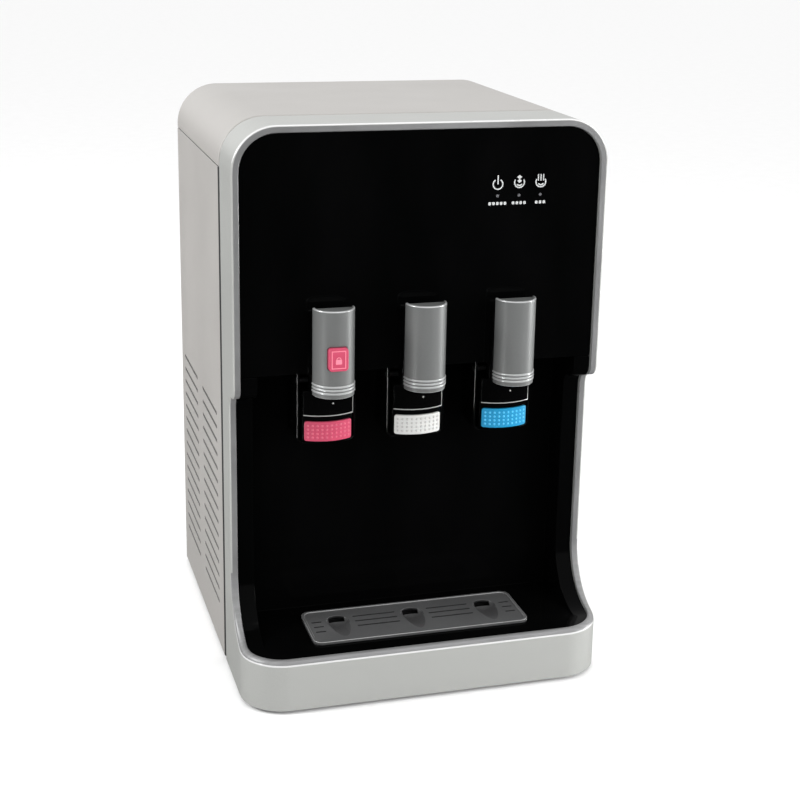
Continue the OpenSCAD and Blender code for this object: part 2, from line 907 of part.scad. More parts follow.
// One side of the casing below the top cover, with its two columns of louvre slots
module side_panel(side) {
    low_x = side < 0 ? -width / 2 : 0;
    color("#b9b6b1") difference() {
        union() {
            difference() {
                intersection() {
                    shell_ring();
                    box([low_x, base_front_y, apron_z], [low_x + width / 2, back_y, side_top_z - fit_gap]);
                }
                translate([side * width / 2, 0, 0]) along_x(4 * shell_wall)
                    for (row = [0:louvre_rows - 1], y0 = [louvre_front_y0, louvre_back_y0])
                        slot(y0, y0 + louvre_len, louvre_top_z - row * louvre_pitch, louvre_h);
            }
            for (row = [0:louvre_rows - 1], y0 = [louvre_front_y0, louvre_back_y0])
                translate([side * inner_half_w, 0, louvre_top_z - row * louvre_pitch])
                    along_y(y0, y0 + louvre_len - louvre_eye) vane_outline(-side);
            side_box(side, inner_half_w - rail_w, [rail_y0, shelf_z - fit_gap - rail_t],
                [rail_y1, shelf_z - fit_gap]);
            for (z = screw_zs)
                side_box(side, screw_x - ear_w / 2, [rear_y - fit_gap - ear_t, z - ear_w / 2],
                    [rear_y - fit_gap, z + ear_w / 2]);
        }
        for (z = screw_zs)
            bar_y(side * screw_x, z, screw_r + screw_pilot_clear, rear_y - 2 * ear_t, rear_y);
    }
}

// Louvre vane that slopes down and inwards from the top edge of its slot
module vane_outline(inwards) {
    polygon([[-inwards * shell_wall / 4, louvre_h / 2], [inwards * vane_reach, -louvre_h / 2 - vane_t],
        [inwards * vane_reach, -louvre_h / 2], [-inwards * shell_wall / 4, louvre_h / 2 + vane_t]]);
}

// Box on the inner face of a side panel, from x0 out into its wall
module side_box(side, x0, low, high) {
    x1 = inner_half_w + shell_wall / 2;
    box([side < 0 ? -x1 : x0, low.x, low.y], [side < 0 ? -x0 : x1, high.x, high.y]);
}

module left_side_panel() {
    side_panel(-1);
}

module right_side_panel() {
    side_panel(1);
}

module rear_panel() {
    color("#3a3c3f") difference() {
        along_y(rear_y, rear_face_y) difference() {
            front_outline(shell_wall + fit_gap);
            translate([-width / 2, -over]) square([width, plate_top_z + fit_gap + over]);
            translate([power_x - power_body.x / 2 - fit_gap, power_z - power_body.y / 2 - fit_gap])
                square([power_body.x + 2 * fit_gap, power_body.y + 2 * fit_gap]);
            translate([inlet_x, inlet_z]) circle(inlet_neck_r + inlet_neck_clear);
            translate([hot_x, drain_z]) circle(drain_r + fit_gap);
            for (z = [discharge_z, liquid_z])
                translate([discharge_x, z]) circle(line_hole_r);
            for (row = [0:rear_vent_rows - 1])
                slot(rear_vent_x - rear_vent_w / 2, rear_vent_x + rear_vent_w / 2,
                    rear_vent_z + row * rear_vent_pitch, rear_vent_h);
        }
        for (side = [-1, 1], z = screw_zs)
            bar_y(side * screw_x, z, screw_r + screw_clear, rear_y - cut, rear_face_y + cut);
    }
}

module base_plate() {
    color("#2b2c2e") difference() {
        intersection() {
            along_z(plate_z, plate_top_z) plan_outline(frame_wall + fit_gap);
            box([-width / 2, base_front_y, 0], [width / 2, back_y - plate_gap, height]);
        }
        for (x = [-foot_x, foot_x], y = [foot_front_y, foot_back_y])
            translate([x, y, 0]) cylinder(h = plate_top_z + cut, r = foot_stem_r + foot_stem_clear);
    }
}

module feet() {
    color("#1b1b1c") for (x = [-foot_x, foot_x], y = [foot_front_y, foot_back_y])
        translate([x, y, 0]) {
            cylinder(h = plate_z - seat_gap, r = foot_r);
            cylinder(h = plate_top_z, r = foot_stem_r);
        }
}

module tank_shelf() {
    color("#9a9c9e") difference() {
        box([-shelf_half_w, shelf_y0, shelf_z], [shelf_half_w, shelf_y1, shelf_top_z]);
        for (x = tap_xs)
            box([x - housing_in_half, slot_y0, shelf_z - cut],
                [x + housing_in_half, slot_y1, shelf_top_z + cut]);
        for (p = [[hose_hot_x, hose_hot_y], [inlet_x, inlet_y], [suction_x, suction_y]])
            translate([p.x, p.y, shelf_z - cut]) cylinder(h = shelf_t + 2 * cut, r = hose_hole_r);
    }
}

module indicator_board() {
    mid = [icon_xs[1], lens_back_y + seat_gap, lens_z + led_board_lift];
    color("#1f5a3a") box([mid.x - led_board_w / 2, mid.y, mid.z - led_board_h / 2],
        [mid.x + led_board_w / 2, mid.y + board_t, mid.z + led_board_h / 2]);
}

module indicator_lenses() {
    color("#d8dce0") for (x = icon_xs)
        bar_y(x, lens_z, lens_r, panel_y, lens_back_y);
}

// Button face outline, let out by a margin
module button_outline(margin) {
    round_rect([-button_w / 2 - margin, button_z - button_h / 2 - margin],
        [button_w / 2 + margin, button_z + button_h / 2 + margin], button_corner_r);
}

module child_lock_button() {
    color("#d8557a") translate([tap_xs[0], 0, 0]) {
        along_y(cover_y - cover_r - button_proud, button_flange_y + button_flange_t) button_outline(0);
        along_y(button_flange_y, button_flange_y + button_flange_t) button_outline(button_flange_w);
    }
}

// Half-round cover over one spout: dished top, ribs round the foot, open at the back and below
module spout_cover(x) {
    difference() {
        translate([x, cover_y, cover_bottom_z]) difference() {
            union() {
                cylinder(h = cover_h, r = cover_r);
                for (i = [0:rib_count - 1])
                    translate([0, 0, rib_first_z + i * rib_pitch]) cylinder(h = rib_h, r = cover_r + rib_out);
            }
            translate([0, 0, cover_h - cover_dish]) cylinder(h = cover_dish + cut, r = cover_r - cover_rim);
            translate([0, 0, -cut])
                cylinder(h = cover_h - cover_dish - cover_roof + cut, r = cover_r - cover_wall);
        }
        box([x - 2 * cover_r, cover_y, 0], [x + 2 * cover_r, cover_y + 2 * cover_r, height]);
    }
}

module hot_spout_cover() {
    color("#8d8f91") difference() {
        spout_cover(tap_xs[0]);
        translate([tap_xs[0], 0, 0])
            along_y(cover_y - 2 * cover_r, cover_y - nozzle_r) button_outline(button_clear);
    }
}

module ambient_spout_cover() {
    color("#8d8f91") spout_cover(tap_xs[1]);
}

module cold_spout_cover() {
    color("#8d8f91") spout_cover(tap_xs[2]);
}

// Front view of a tap housing, drawn in by a wall, open at the top
module housing_outline(wall) {
    half = housing_w / 2 - wall;
    low = housing_bottom_z + wall;
    r = housing_corner_r - wall;
    translate([-half, low + r]) square([2 * half, housing_top_z - low - r]);
    translate([r - half, low]) square([2 * (half - r), housing_top_z - low]);
    for (side = [-1, 1])
        translate([side * (half - r), low + r]) circle(r);
}

// Box round one lever, open to the front and into the head above
module tap_housing(x) {
    color("#0d0d0f") difference() {
        translate([x, 0, 0]) along_y(housing_y, housing_back_y) housing_outline(0);
        translate([x, 0, 0])
            along_y(housing_y - cut, housing_back_y - housing_back_t) housing_outline(housing_wall);
        bar_x(x, pivot_y, pivot_z, pin_r + run_clear, housing_w + 2 * cut);
    }
}

module hot_tap_housing() {
    tap_housing(tap_xs[0]);
}

module ambient_tap_housing() {
    tap_housing(tap_xs[1]);
}

module cold_tap_housing() {
    tap_housing(tap_xs[2]);
}

// Push lever: bulged front, gussets up to the hub on the pin, and an arm that works the plunger
module lever(x) {
    inner_y = lever_axis_y - lever_back_r * cos(asin(hub_half / lever_back_r)) - lever_wall / 2;
    gusset = [[inner_y, lever_top_z - arm_t], [pivot_y - arm_t, pivot_z + arm_t],
        [pivot_y + arm_t, pivot_z - arm_t], [inner_y, lever_bottom_z + gusset_h]];
    neck_z = plunger_z - plunger_head_r - arm_t;
    arm = [[pivot_y - arm_t, pivot_z + arm_t], [nub_y - nub_r / 2, neck_z], [nub_y - nub_r / 2, plunger_z],
        [nub_y + nub_r, plunger_z], [nub_y + nub_r, neck_z], [pivot_y + hub_r, pivot_z]];
    color("#0e0e10") translate([x, 0, 0]) difference() {
        union() {
            intersection() {
                translate([0, lever_axis_y, 0]) difference() {
                    union() {
                        translate([0, 0, lever_bottom_z]) cylinder(h = lever_h, r = lever_seat_r);
                        translate([0, 0, lever_step_z])
                            cylinder(h = lever_top_z - lever_step_z, r = lever_step_r);
                    }
                    translate([0, 0, lever_bottom_z - cut])
                        cylinder(h = lever_h + 2 * cut, r = lever_back_r);
                }
                box([-lever_w / 2, head_y, lever_bottom_z], [lever_w / 2, lever_axis_y, lever_top_z]);
            }
            for (side = [-1, 1])
                translate([side * (hub_half - gusset_t / 2), 0, 0]) along_x(gusset_t) polygon(gusset);
            along_x(nub_w) polygon(arm);
            bar_x(0, nub_y, plunger_z, nub_r, nub_w);
            bar_x(0, pivot_y, pivot_z, hub_r, 2 * hub_half);
        }
        bar_x(0, pivot_y, pivot_z, pin_r + run_clear, 2 * (hub_half + cut));
    }
}

module hot_lever() {
    lever(tap_xs[0]);
}

module ambient_lever() {
    lever(tap_xs[1]);
}

module cold_lever() {
    lever(tap_xs[2]);
}

// Grip pad on the seat of a lever
module grip_pad(x) {
    translate([x, 0, 0]) intersection() {
        translate([0, lever_axis_y, grip_z]) difference() {
            cylinder(h = grip_h, r = grip_r);
            translate([0, 0, -cut]) cylinder(h = grip_h + 2 * cut, r = lever_seat_r + grip_gap);
        }
        box([-grip_w / 2, head_y, grip_z], [grip_w / 2, lever_axis_y, grip_z + grip_h]);
    }
}

module hot_grip_pad() {
    color("#d9587d") grip_pad(tap_xs[0]);
}

module ambient_grip_pad() {
    color("#e2e2de") grip_pad(tap_xs[1]);
}

module cold_grip_pad() {
    color("#1f9fdc") grip_pad(tap_xs[2]);
}

// Steel pin that a lever turns on
module lever_pin(x) {
    color("#c9cbcd") bar_x(x, pivot_y, pivot_z, pin_r, housing_w);
}

module hot_lever_pin() {
    lever_pin(tap_xs[0]);
}

module ambient_lever_pin() {
    lever_pin(tap_xs[1]);
}

module cold_lever_pin() {
    lever_pin(tap_xs[2]);
}

// Return spring round the pin, beside the hub
module lever_spring(x) {
    color("#b4b6b8") translate([x + spring_x, pivot_y, pivot_z])
        coil(spring_coil_r, spring_wire_r, spring_pitch, spring_turns, spring_sides, spring_rings);
}

module hot_lever_spring() {
    lever_spring(tap_xs[0]);
}

module ambient_lever_spring() {
    lever_spring(tap_xs[1]);
}

module cold_lever_spring() {
    lever_spring(tap_xs[2]);
}

// Valve behind the front panel, with its pipe through the panel and the outlet nozzle in the spout
module valve(x) {
    color("#e6e4dc") difference() {
        union() {
            box([x - valve_w / 2, panel_back_y + fit_gap, valve_bottom_z],
                [x + valve_w / 2, valve_back_y, valve_top_z]);
            bar_y(x, pipe_z, pipe_r, nozzle_y, panel_back_y + fit_gap + cut);
            translate([x, nozzle_y, nozzle_bottom_z])
                cylinder(h = pipe_z + nozzle_r - nozzle_bottom_z, r = nozzle_r);
            translate([x, barb_y, valve_top_z - cut]) cylinder(h = barb_h + cut, r = pipe_r);
        }
        bar_y(x, pipe_z, pipe_bore_r, nozzle_y, barb_y);
        translate([x, nozzle_y, nozzle_bottom_z - cut])
            cylinder(h = pipe_z - nozzle_bottom_z + cut, r = nozzle_bore_r);
        translate([x, barb_y, pipe_z]) cylinder(h = valve_top_z + barb_h, r = pipe_bore_r);
        bar_y(x, plunger_z, plunger_r + run_clear, plunger_bore_y, valve_back_y + cut);
    }
}

module hot_valve() {
    valve(tap_xs[0]);
}

module ambient_valve() {
    valve(tap_xs[1]);
}

module cold_valve() {
    valve(tap_xs[2]);
}

// Plunger that a lever pushes into its valve
module plunger(x) {
    color("#d0cfc8") {
        bar_y(x, plunger_z, plunger_r, plunger_front_y, plunger_back_y - plunger_head_t / 2);
        bar_y(x, plunger_z, plunger_head_r, plunger_back_y - plunger_head_t, plunger_back_y);
    }
}

module hot_plunger() {
    plunger(tap_xs[0]);
}

module ambient_plunger() {
    plunger(tap_xs[1]);
}

module cold_plunger() {
    plunger(tap_xs[2]);
}

module cold_tank() {
    color("#b8bbbe") translate([cold_x, cold_y, cold_z]) difference() {
        cylinder(h = cold_tank_h, r = cold_tank_r);
        translate([0, 0, tank_sheet]) cylinder(h = cold_tank_h, r = cold_tank_r - tank_sheet);
    }
}

module cold_tank_lid() {
    color("#dfe3e6") translate([cold_x, cold_y, cold_top_z + seat_gap]) difference() {
        union() {
            cylinder(h = lid_t, r = cold_tank_r);
            translate([0, 0, -lid_lip_h])
                cylinder(h = lid_lip_h + cut, r = cold_tank_r - tank_sheet - seat_gap);
            for (y = [0, feed_offset])
                translate([0, y, 0]) cylinder(h = lid_t + stub_h, r = stub_r);
        }
        translate([0, 0, -lid_lip_h - cut])
            cylinder(h = lid_lip_h + cut, r = cold_tank_r - tank_sheet - seat_gap - lid_t);
        for (y = [0, feed_offset])
            translate([0, y, -lid_lip_h]) cylinder(h = 2 * lid_lip_h + stub_h, r = pipe_bore_r);
    }
}

module cold_tank_insulation() {
    color("#eeeeea") translate([cold_x, cold_y, shelf_top_z + seat_gap]) difference() {
        cylinder(h = insulation_floor + seat_gap + cold_tank_h, r = insulation_r);
        translate([0, 0, insulation_floor]) cylinder(h = 2 * cold_tank_h, r = insulation_in_r);
    }
}

// Copper tube wound on the cold tank, as closely stacked turns
module evaporator_coil() {
    color("#b87342") translate([cold_x, cold_y, cold_z + coil_r + coil_pitch])
        for (i = [0:coil_turns - 1])
            translate([0, 0, i * coil_pitch])
                rotate_extrude() translate([coil_mid_r, 0]) circle(coil_r, $fn = 24);
}

module hot_tank() {
    color("#b3b6b9") difference() {
        union() {
            translate([hot_x, hot_y, hot_z]) cylinder(h = hot_tank_h, r = hot_tank_r);
            translate([hose_hot_x, hose_hot_y, hot_top_z - tank_sheet / 2])
                cylinder(h = stub_h + tank_sheet / 2, r = stub_r);
            for (a = [30:120:270])
                translate([hot_x, hot_y, plate_top_z + seat_gap]) rotate(a) translate([hot_leg_ring, 0, 0])
                    cylinder(h = hot_lift, r = hot_leg_r);
        }
        translate([hot_x, hot_y, hot_z + tank_sheet])
            cylinder(h = hot_tank_h - 2 * tank_sheet, r = hot_tank_r - tank_sheet);
        translate([hose_hot_x, hose_hot_y, hot_top_z - 2 * tank_sheet])
            cylinder(h = stub_h + over, r = pipe_bore_r);
        translate([hot_x, hot_y, hot_z - cut]) cylinder(h = 2 * tank_sheet + cut, r = drain_bore_r);
    }
}

module band_heater() {
    inner_r = hot_tank_r + seat_gap;
    color("#8a8577") translate([hot_x, hot_y, heater_z]) difference() {
        union() {
            cylinder(h = heater_h, r = inner_r + heater_t);
            box([-heater_block.x / 2, -inner_r - heater_block.y, heater_h / 2 - heater_block.z / 2],
                [heater_block.x / 2, -inner_r - heater_t / 2, heater_h / 2 + heater_block.z / 2]);
        }
        translate([0, 0, -cut]) cylinder(h = heater_h + 2 * cut, r = inner_r);
    }
}

module thermostats() {
    face_y = hot_y - hot_tank_r - seat_gap;
    color("#4a4038") for (z = thermostat_zs)
        bar_y(hot_x, z, thermostat_r, face_y - thermostat_t, face_y);
}

module compressor() {
    half = compressor_foot / 2;
    color("#17181a") difference() {
        union() {
            translate([compressor_x, compressor_y, compressor_foot_z]) {
                cylinder(h = compressor_void_h, r = compressor_r);
                translate([0, 0, compressor_void_h])
                    cylinder(h = compressor_dome_h, r1 = compressor_r, r2 = compressor_neck_r);
                box([-half.x / 2, -half.y, 0], [half.x / 2, half.y, compressor_foot_t]);
                for (side = [-1, 1])
                    box([compressor_foot_trim - half.x, side * half.y - grommet_inset, 0],
                        [half.x - compressor_foot_trim, side * half.y + grommet_inset, compressor_foot_t]);
            }
        }
        translate([compressor_x, compressor_y, compressor_foot_z - cut])
            cylinder(h = compressor_void_h, r = compressor_r - compressor_wall);
        for (p = grommet_places())
            translate([p.x, p.y, compressor_foot_z - cut])
                cylinder(h = compressor_foot_t + 2 * cut, r = grommet_hole_r);
    }
}

// Places of the four compressor grommets
function grommet_places() =
    [for (sx = [-1, 1], sy = [-1, 1])
        [compressor_x + sx * grommet_step, compressor_y + sy * compressor_foot.y / 2]];

module compressor_grommets() {
    color("#222224") for (p = grommet_places())
        translate([p.x, p.y, plate_top_z + seat_gap]) {
            cylinder(h = compressor_foot_z - plate_top_z - 2 * seat_gap, r = grommet_r);
            cylinder(h = compressor_z - plate_top_z + grommet_lip, r = grommet_neck_r);
        }
}

// Serpentine tube with a row of wires behind it and two brackets to the rear panel
module condenser() {
    top_z = condenser_top_z;
    wire_y = condenser_y + condenser_tube_r + wire_gap;
    wire_pitch = 2 * (condenser_half - condenser_pitch / 2) / (condenser_wires - 1);
    color("#151617") {
        for (i = [0:condenser_runs - 1])
            bar_x(0, condenser_y, condenser_z + i * condenser_pitch, condenser_tube_r, 2 * condenser_half);
        for (i = [0:condenser_runs - 2])
            translate([(i % 2 == 0 ? 1 : -1) * condenser_half, condenser_y,
                    condenser_z + (i + 0.5) * condenser_pitch])
                rotate([90, 0, 0]) rotate(i % 2 == 0 ? -90 : 90)
                    rotate_extrude(angle = 180) translate([condenser_pitch / 2, 0]) circle(condenser_tube_r);
        for (i = [0:condenser_wires - 1])
            translate([-condenser_half + condenser_pitch / 2 + i * wire_pitch - wire_w / 2, wire_y,
                    condenser_z - condenser_pitch / 2])
                cube([wire_w, wire_w, top_z - condenser_z + condenser_pitch]);
        for (side = [-1, 1])
            box([side * bracket_x - bracket_w / 2, rear_face_y + wire_gap, condenser_z - condenser_pitch / 2],
                [side * bracket_x + bracket_w / 2, condenser_y - condenser_tube_r - wire_gap,
                    top_z + condenser_pitch / 2]);
    }
}

// Distance from the middle of a round body to its wall, where a line of the given offset ends
function wall_reach(body_r, offset) =
    sqrt(pow(body_r, 2) - pow(max(abs(offset) - line_r, 0), 2)) + seat_gap;

// Discharge line to the condenser, liquid line to the cold tank, and suction line back to the compressor
module refrigerant_lines() {
    hot_start_y = compressor_y + wall_reach(compressor_r, discharge_x - compressor_x);
    liquid_end_y = cold_y + wall_reach(insulation_r, discharge_x - cold_x);
    suction_start_y = cold_y + wall_reach(insulation_r, suction_x - cold_x);
    suction_end_y = compressor_y + wall_reach(compressor_r, suction_x - compressor_x);
    color("#b06f40") {
        tube_path([[discharge_x, hot_start_y, discharge_z], [discharge_x, condenser_y, discharge_z],
            [discharge_x, condenser_y, condenser_z - condenser_tube_r - seat_gap]], line_r);
        tube_path([[discharge_x, condenser_y, condenser_top_z - condenser_tube_r - seat_gap],
            [discharge_x, condenser_y, liquid_z], [discharge_x, liquid_end_y, liquid_z]], line_r);
        tube_path([[suction_x, suction_start_y, suction_z], [suction_x, suction_y, suction_z],
            [suction_x, suction_y, discharge_z], [suction_x, suction_end_y, discharge_z]], line_r);
    }
}

module inlet_valve() {
    body_y1 = rear_y - fit_gap;
    half = inlet_body / 2;
    color("#d9d7cf") difference() {
        union() {
            box([inlet_x - half.x, body_y1 - inlet_body.y, inlet_z - half.z],
                [inlet_x + half.x, body_y1, inlet_z + half.z]);
            bar_y(inlet_x, inlet_z, inlet_neck_r, body_y1 - cut, inlet_end_y);
        }
        bar_y(inlet_x, inlet_z, inlet_bore_r, inlet_end_y - inlet_bore_len, back_y);
    }
}

// Hoses from the tanks to the three valves, and from the water inlet to the cold tank
module water_hoses() {
    barb_z = valve_top_z + barb_h + seat_gap;
    lid_z = cold_top_z + 2 * seat_gap + lid_t + stub_h;
    color("#dadad2") {
        tube_path([[-tap_pitch, barb_y, barb_z], [-tap_pitch, barb_y, hose_hot_z],
            [hose_hot_x, hose_hot_y, hose_hot_z],
            [hose_hot_x, hose_hot_y, hot_top_z + stub_h + seat_gap]], hose_r);
        tube_path([[0, barb_y, barb_z], [0, barb_y, hose_ambient_z], [0, cold_y, hose_ambient_z],
            [cold_x, cold_y, hose_ambient_z], [cold_x, cold_y, lid_z]], hose_r);
        tube_path([[tap_pitch, barb_y, barb_z], [tap_pitch, barb_y, hose_cold_z],
            [tap_pitch, cold_y - insulation_r - seat_gap, hose_cold_z]], hose_r);
        tube_path([[inlet_x, inlet_y, inlet_z + inlet_body.z / 2 + seat_gap],
            [inlet_x, inlet_y, hose_ambient_z], [cold_x, inlet_y, hose_ambient_z],
            [cold_x, cold_y + feed_offset, hose_ambient_z],
            [cold_x, cold_y + feed_offset, lid_z]], hose_r);
    }
}

module drain_pipe() {
    color("#c9c8c2") difference() {
        union() {
            translate([hot_x, hot_y, drain_z]) cylinder(h = hot_z - seat_gap - drain_z, r = drain_r);
            translate([hot_x, hot_y, drain_z]) sphere(drain_r);
            bar_y(hot_x, drain_z, drain_r, hot_y, drain_end_y);
        }
        translate([hot_x, hot_y, drain_z]) cylinder(h = hot_z, r = drain_bore_r);
        bar_y(hot_x, drain_z, drain_bore_r, hot_y, drain_end_y + cut);
    }
}

module drain_plug() {
    color("#2a2a2c") {
        bar_y(hot_x, drain_z, drain_bore_r - drain_plug_clear, drain_end_y - drain_plug_len,
            drain_end_y + cut);
        bar_y(hot_x, drain_z, drain_plug_head_r, drain_end_y + seat_gap,
            drain_end_y + seat_gap + drain_plug_head_t);
    }
}

module power_panel() {
    flange_y = rear_face_y + wire_gap;
    front_y = flange_y + power_flange_t;
    color("#1a1b1d") {
        difference() {
            union() {
                box([power_x - power_flange.x / 2, flange_y, power_z - power_flange.y / 2],
                    [power_x + power_flange.x / 2, front_y, power_z + power_flange.y / 2]);
                box([power_x - power_body.x / 2, rear_y - power_body_len, power_z - power_body.y / 2],
                    [power_x + power_body.x / 2, front_y - power_flange_t / 2, power_z + power_body.y / 2]);
            }
            along_y(front_y - socket_depth, front_y + cut)
                round_rect([socket_x - socket.x / 2, power_z - socket.y / 2],
                    [socket_x + socket.x / 2, power_z + socket.y / 2], socket_corner_r);
            for (x = rocker_xs)
                bar_x(x, rocker_y, power_z, rocker_r + rocker_clear, rocker_w + 2 * rocker_clear);
        }
        for (i = [-1:1])
            box([socket_x + i * pin_spread - pin_blade.x / 2, front_y - socket_depth - cut,
                    power_z + (i == 0 ? pin_rise : -pin_rise) - pin_blade.y / 2],
                [socket_x + i * pin_spread + pin_blade.x / 2, front_y - socket_depth + pin_len,
                    power_z + (i == 0 ? pin_rise : -pin_rise) + pin_blade.y / 2]);
    }
}

// Rocker that tilts about its own round body, drawn with its upper half pressed
module rocker(x) {
    translate([x, rocker_y, power_z]) rotate([rocker_tilt, 0, 0]) difference() {
        bar_x(0, 0, 0, rocker_r, rocker_w);
        for (side = [-1, 1])
            rotate([side * rocker_tilt, 0, 0])
                box([-rocker_w, rocker_face, side < 0 ? -2 * rocker_r : 0],
                    [rocker_w, 2 * rocker_r, side < 0 ? 0 : 2 * rocker_r]);
    }
}

module hot_switch() {
    color("#a9302f") rocker(rocker_xs[0]);
}

module cold_switch() {
    color("#2f7a3d") rocker(rocker_xs[1]);
}

module control_board() {
    foot_z = shelf_top_z + seat_gap;
    color("#1f5a3a") {
        box([pcb_x - pcb_foot.x / 2, pcb_y, foot_z],
            [pcb_x + pcb_foot.x / 2, pcb_y + pcb_foot.y, foot_z + pcb_foot.z]);
        box([pcb_x, pcb_y, foot_z + pcb_foot.z / 2],
            [pcb_x + board_t, pcb_y + pcb_len, foot_z + pcb_foot.z + pcb_h]);
    }
}

module rear_screws() {
    color("#c4c6c8") for (side = [-1, 1], z = screw_zs) {
        bar_y(side * screw_x, z, screw_r, rear_face_y - screw_len, rear_face_y + cut);
        bar_y(side * screw_x, z, screw_head_r, rear_face_y + wire_gap, rear_face_y + wire_gap + screw_head_t);
    }
}

front_frame();
front_panel();
alcove_liner();
tap_plate();
top_cover();
left_side_panel();
right_side_panel();
rear_panel();
base_plate();
feet();
tank_shelf();
drip_tray();
drip_grille();
indicator_board();
indicator_lenses();
child_lock_button();
hot_spout_cover();
ambient_spout_cover();
cold_spout_cover();
hot_tap_housing();
ambient_tap_housing();
cold_tap_housing();
hot_lever();
ambient_lever();
cold_lever();
hot_grip_pad();
ambient_grip_pad();
cold_grip_pad();
hot_lever_pin();
ambient_lever_pin();
cold_lever_pin();
hot_lever_spring();
ambient_lever_spring();
cold_lever_spring();
hot_valve();
ambient_valve();
cold_valve();
hot_plunger();
ambient_plunger();
cold_plunger();
cold_tank();
cold_tank_lid();
cold_tank_insulation();
evaporator_coil();
hot_tank();
band_heater();
thermostats();
compressor();
compressor_grommets();
condenser();
refrigerant_lines();
inlet_valve();
water_hoses();
drain_pipe();
drain_plug();
power_panel();
hot_switch();
cold_switch();
control_board();
rear_screws();
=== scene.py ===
import json
from math import asin, cos, pi, radians, sin

import bmesh
import bpy
from mathutils import Matrix, Vector
from mathutils.geometry import intersect_point_line

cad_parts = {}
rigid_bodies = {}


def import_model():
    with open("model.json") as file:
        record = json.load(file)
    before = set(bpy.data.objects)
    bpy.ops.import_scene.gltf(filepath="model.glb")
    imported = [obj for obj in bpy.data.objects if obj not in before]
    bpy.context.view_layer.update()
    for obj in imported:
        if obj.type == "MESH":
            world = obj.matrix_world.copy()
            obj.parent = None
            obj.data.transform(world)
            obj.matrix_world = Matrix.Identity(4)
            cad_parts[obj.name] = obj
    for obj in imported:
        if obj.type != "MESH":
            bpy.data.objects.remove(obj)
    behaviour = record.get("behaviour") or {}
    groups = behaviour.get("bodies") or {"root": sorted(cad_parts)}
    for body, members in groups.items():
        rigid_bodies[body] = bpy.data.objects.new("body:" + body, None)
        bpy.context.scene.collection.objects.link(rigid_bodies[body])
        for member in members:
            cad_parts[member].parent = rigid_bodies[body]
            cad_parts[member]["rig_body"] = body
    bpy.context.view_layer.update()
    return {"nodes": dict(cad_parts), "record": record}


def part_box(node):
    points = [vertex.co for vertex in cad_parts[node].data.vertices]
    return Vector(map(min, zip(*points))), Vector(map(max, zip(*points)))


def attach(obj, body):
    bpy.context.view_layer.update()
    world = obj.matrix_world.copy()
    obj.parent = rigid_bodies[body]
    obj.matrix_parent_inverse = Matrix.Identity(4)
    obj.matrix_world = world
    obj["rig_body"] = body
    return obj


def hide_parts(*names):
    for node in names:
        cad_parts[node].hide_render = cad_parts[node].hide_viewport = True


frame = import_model()

# Lengths below are in millimetres, where nothing else is said, and MM makes them metres
MM = 0.001
TAPS = ("hot", "ambient", "cold")


# Finishes

# How far light of each colour spreads inside a moulded piece
SUBSURFACE_RADIUS = (1.0, 0.6, 0.5)
SUBSURFACE_SCALE = 1.0
# The part of the noise's range that it really uses
NOISE_LOW = 0.3
NOISE_HIGH = 0.7
# Cells per metre and detail of the slow drift of colour in a moulding
DRIFT_CELLS = 28
DRIFT_DETAIL = 3
# Share by which the gloss of a moulding, a paint and a drawn metal varies
MOULDED_GLOSS_SPREAD = 0.15
PAINT_GLOSS_SPREAD = 0.08
DRAWN_GLOSS_SPREAD = 0.2
# Clouds and flakes in a metallic paint, in cells per metre, and the relief of the flakes
CLOUD_CELLS = 14
FLAKE_CELLS = 2600
FLAKE_DETAIL = 1
FLAKE_DEPTH = 0.01
FLAKE_RELIEF = 0.25
# Streaks on drawn metal
STREAK_CELLS = 500
STREAK_DETAIL = 3
STREAK_SPREAD = 0.12
STREAK_DEPTH = 0.02
# Wipe marks and fine waves on polished black
WIPE_CELLS = 18
WIPE_DETAIL = 4
WIPE_STRETCH = (1, 1, 0.35)
WAVE_CELLS = 240
WAVE_DEPTH = 0.006
WAVE_RELIEF = 0.15
BLACK_DARK = (0.0008, 0.0009, 0.0009)
BLACK_LIGHT = (0.0016, 0.0016, 0.0017)
BLACK_GLOSS = (0.05, 0.12)
# How strongly the polished black of the front, of the alcove and of the tap housings mirrors
PANEL_SHINE = 0.08
ALCOVE_SHINE = 0.03
HOUSING_SHINE = 0.5
# Smoked lens over a lamp
LENS_CELLS = 900
LENS_SPECULAR = 0.4
LENS_CLEARNESS = 0.25
LENS_IOR = 1.49
LENS_DARK = (0.10, 0.10, 0.11)
LENS_LIGHT = (0.20, 0.20, 0.21)
LENS_GLOSS = (0.10, 0.22)


def new_finish(name, metallic=0.0, specular=0.5, subsurface=0.0):
    """A node material with the constants of its shader set on the shader's own sockets"""
    material = bpy.data.materials.new(name)
    material.use_nodes = True
    shader = material.node_tree.nodes["Principled BSDF"]
    shader.inputs["Metallic"].default_value = metallic
    shader.inputs["Specular IOR Level"].default_value = specular
    shader.inputs["Subsurface Weight"].default_value = subsurface
    shader.inputs["Subsurface Radius"].default_value = SUBSURFACE_RADIUS
    shader.inputs["Subsurface Scale"].default_value = SUBSURFACE_SCALE * MM
    return material, shader


def object_noise(material, scale, detail=2.0, stretch=(1, 1, 1)):
    """Noise on the piece's own coordinates, in cells per metre"""
    nodes = material.node_tree.nodes
    links = material.node_tree.links
    place = nodes.new("ShaderNodeTexCoord")
    mapping = nodes.new("ShaderNodeMapping")
    mapping.inputs["Scale"].default_value = stretch
    noise = nodes.new("ShaderNodeTexNoise")
    noise.inputs["Scale"].default_value = scale
    noise.inputs["Detail"].default_value = detail
    links.new(place.outputs["Object"], mapping.inputs["Vector"])
    links.new(mapping.outputs["Vector"], noise.inputs["Vector"])
    return noise.outputs["Fac"]


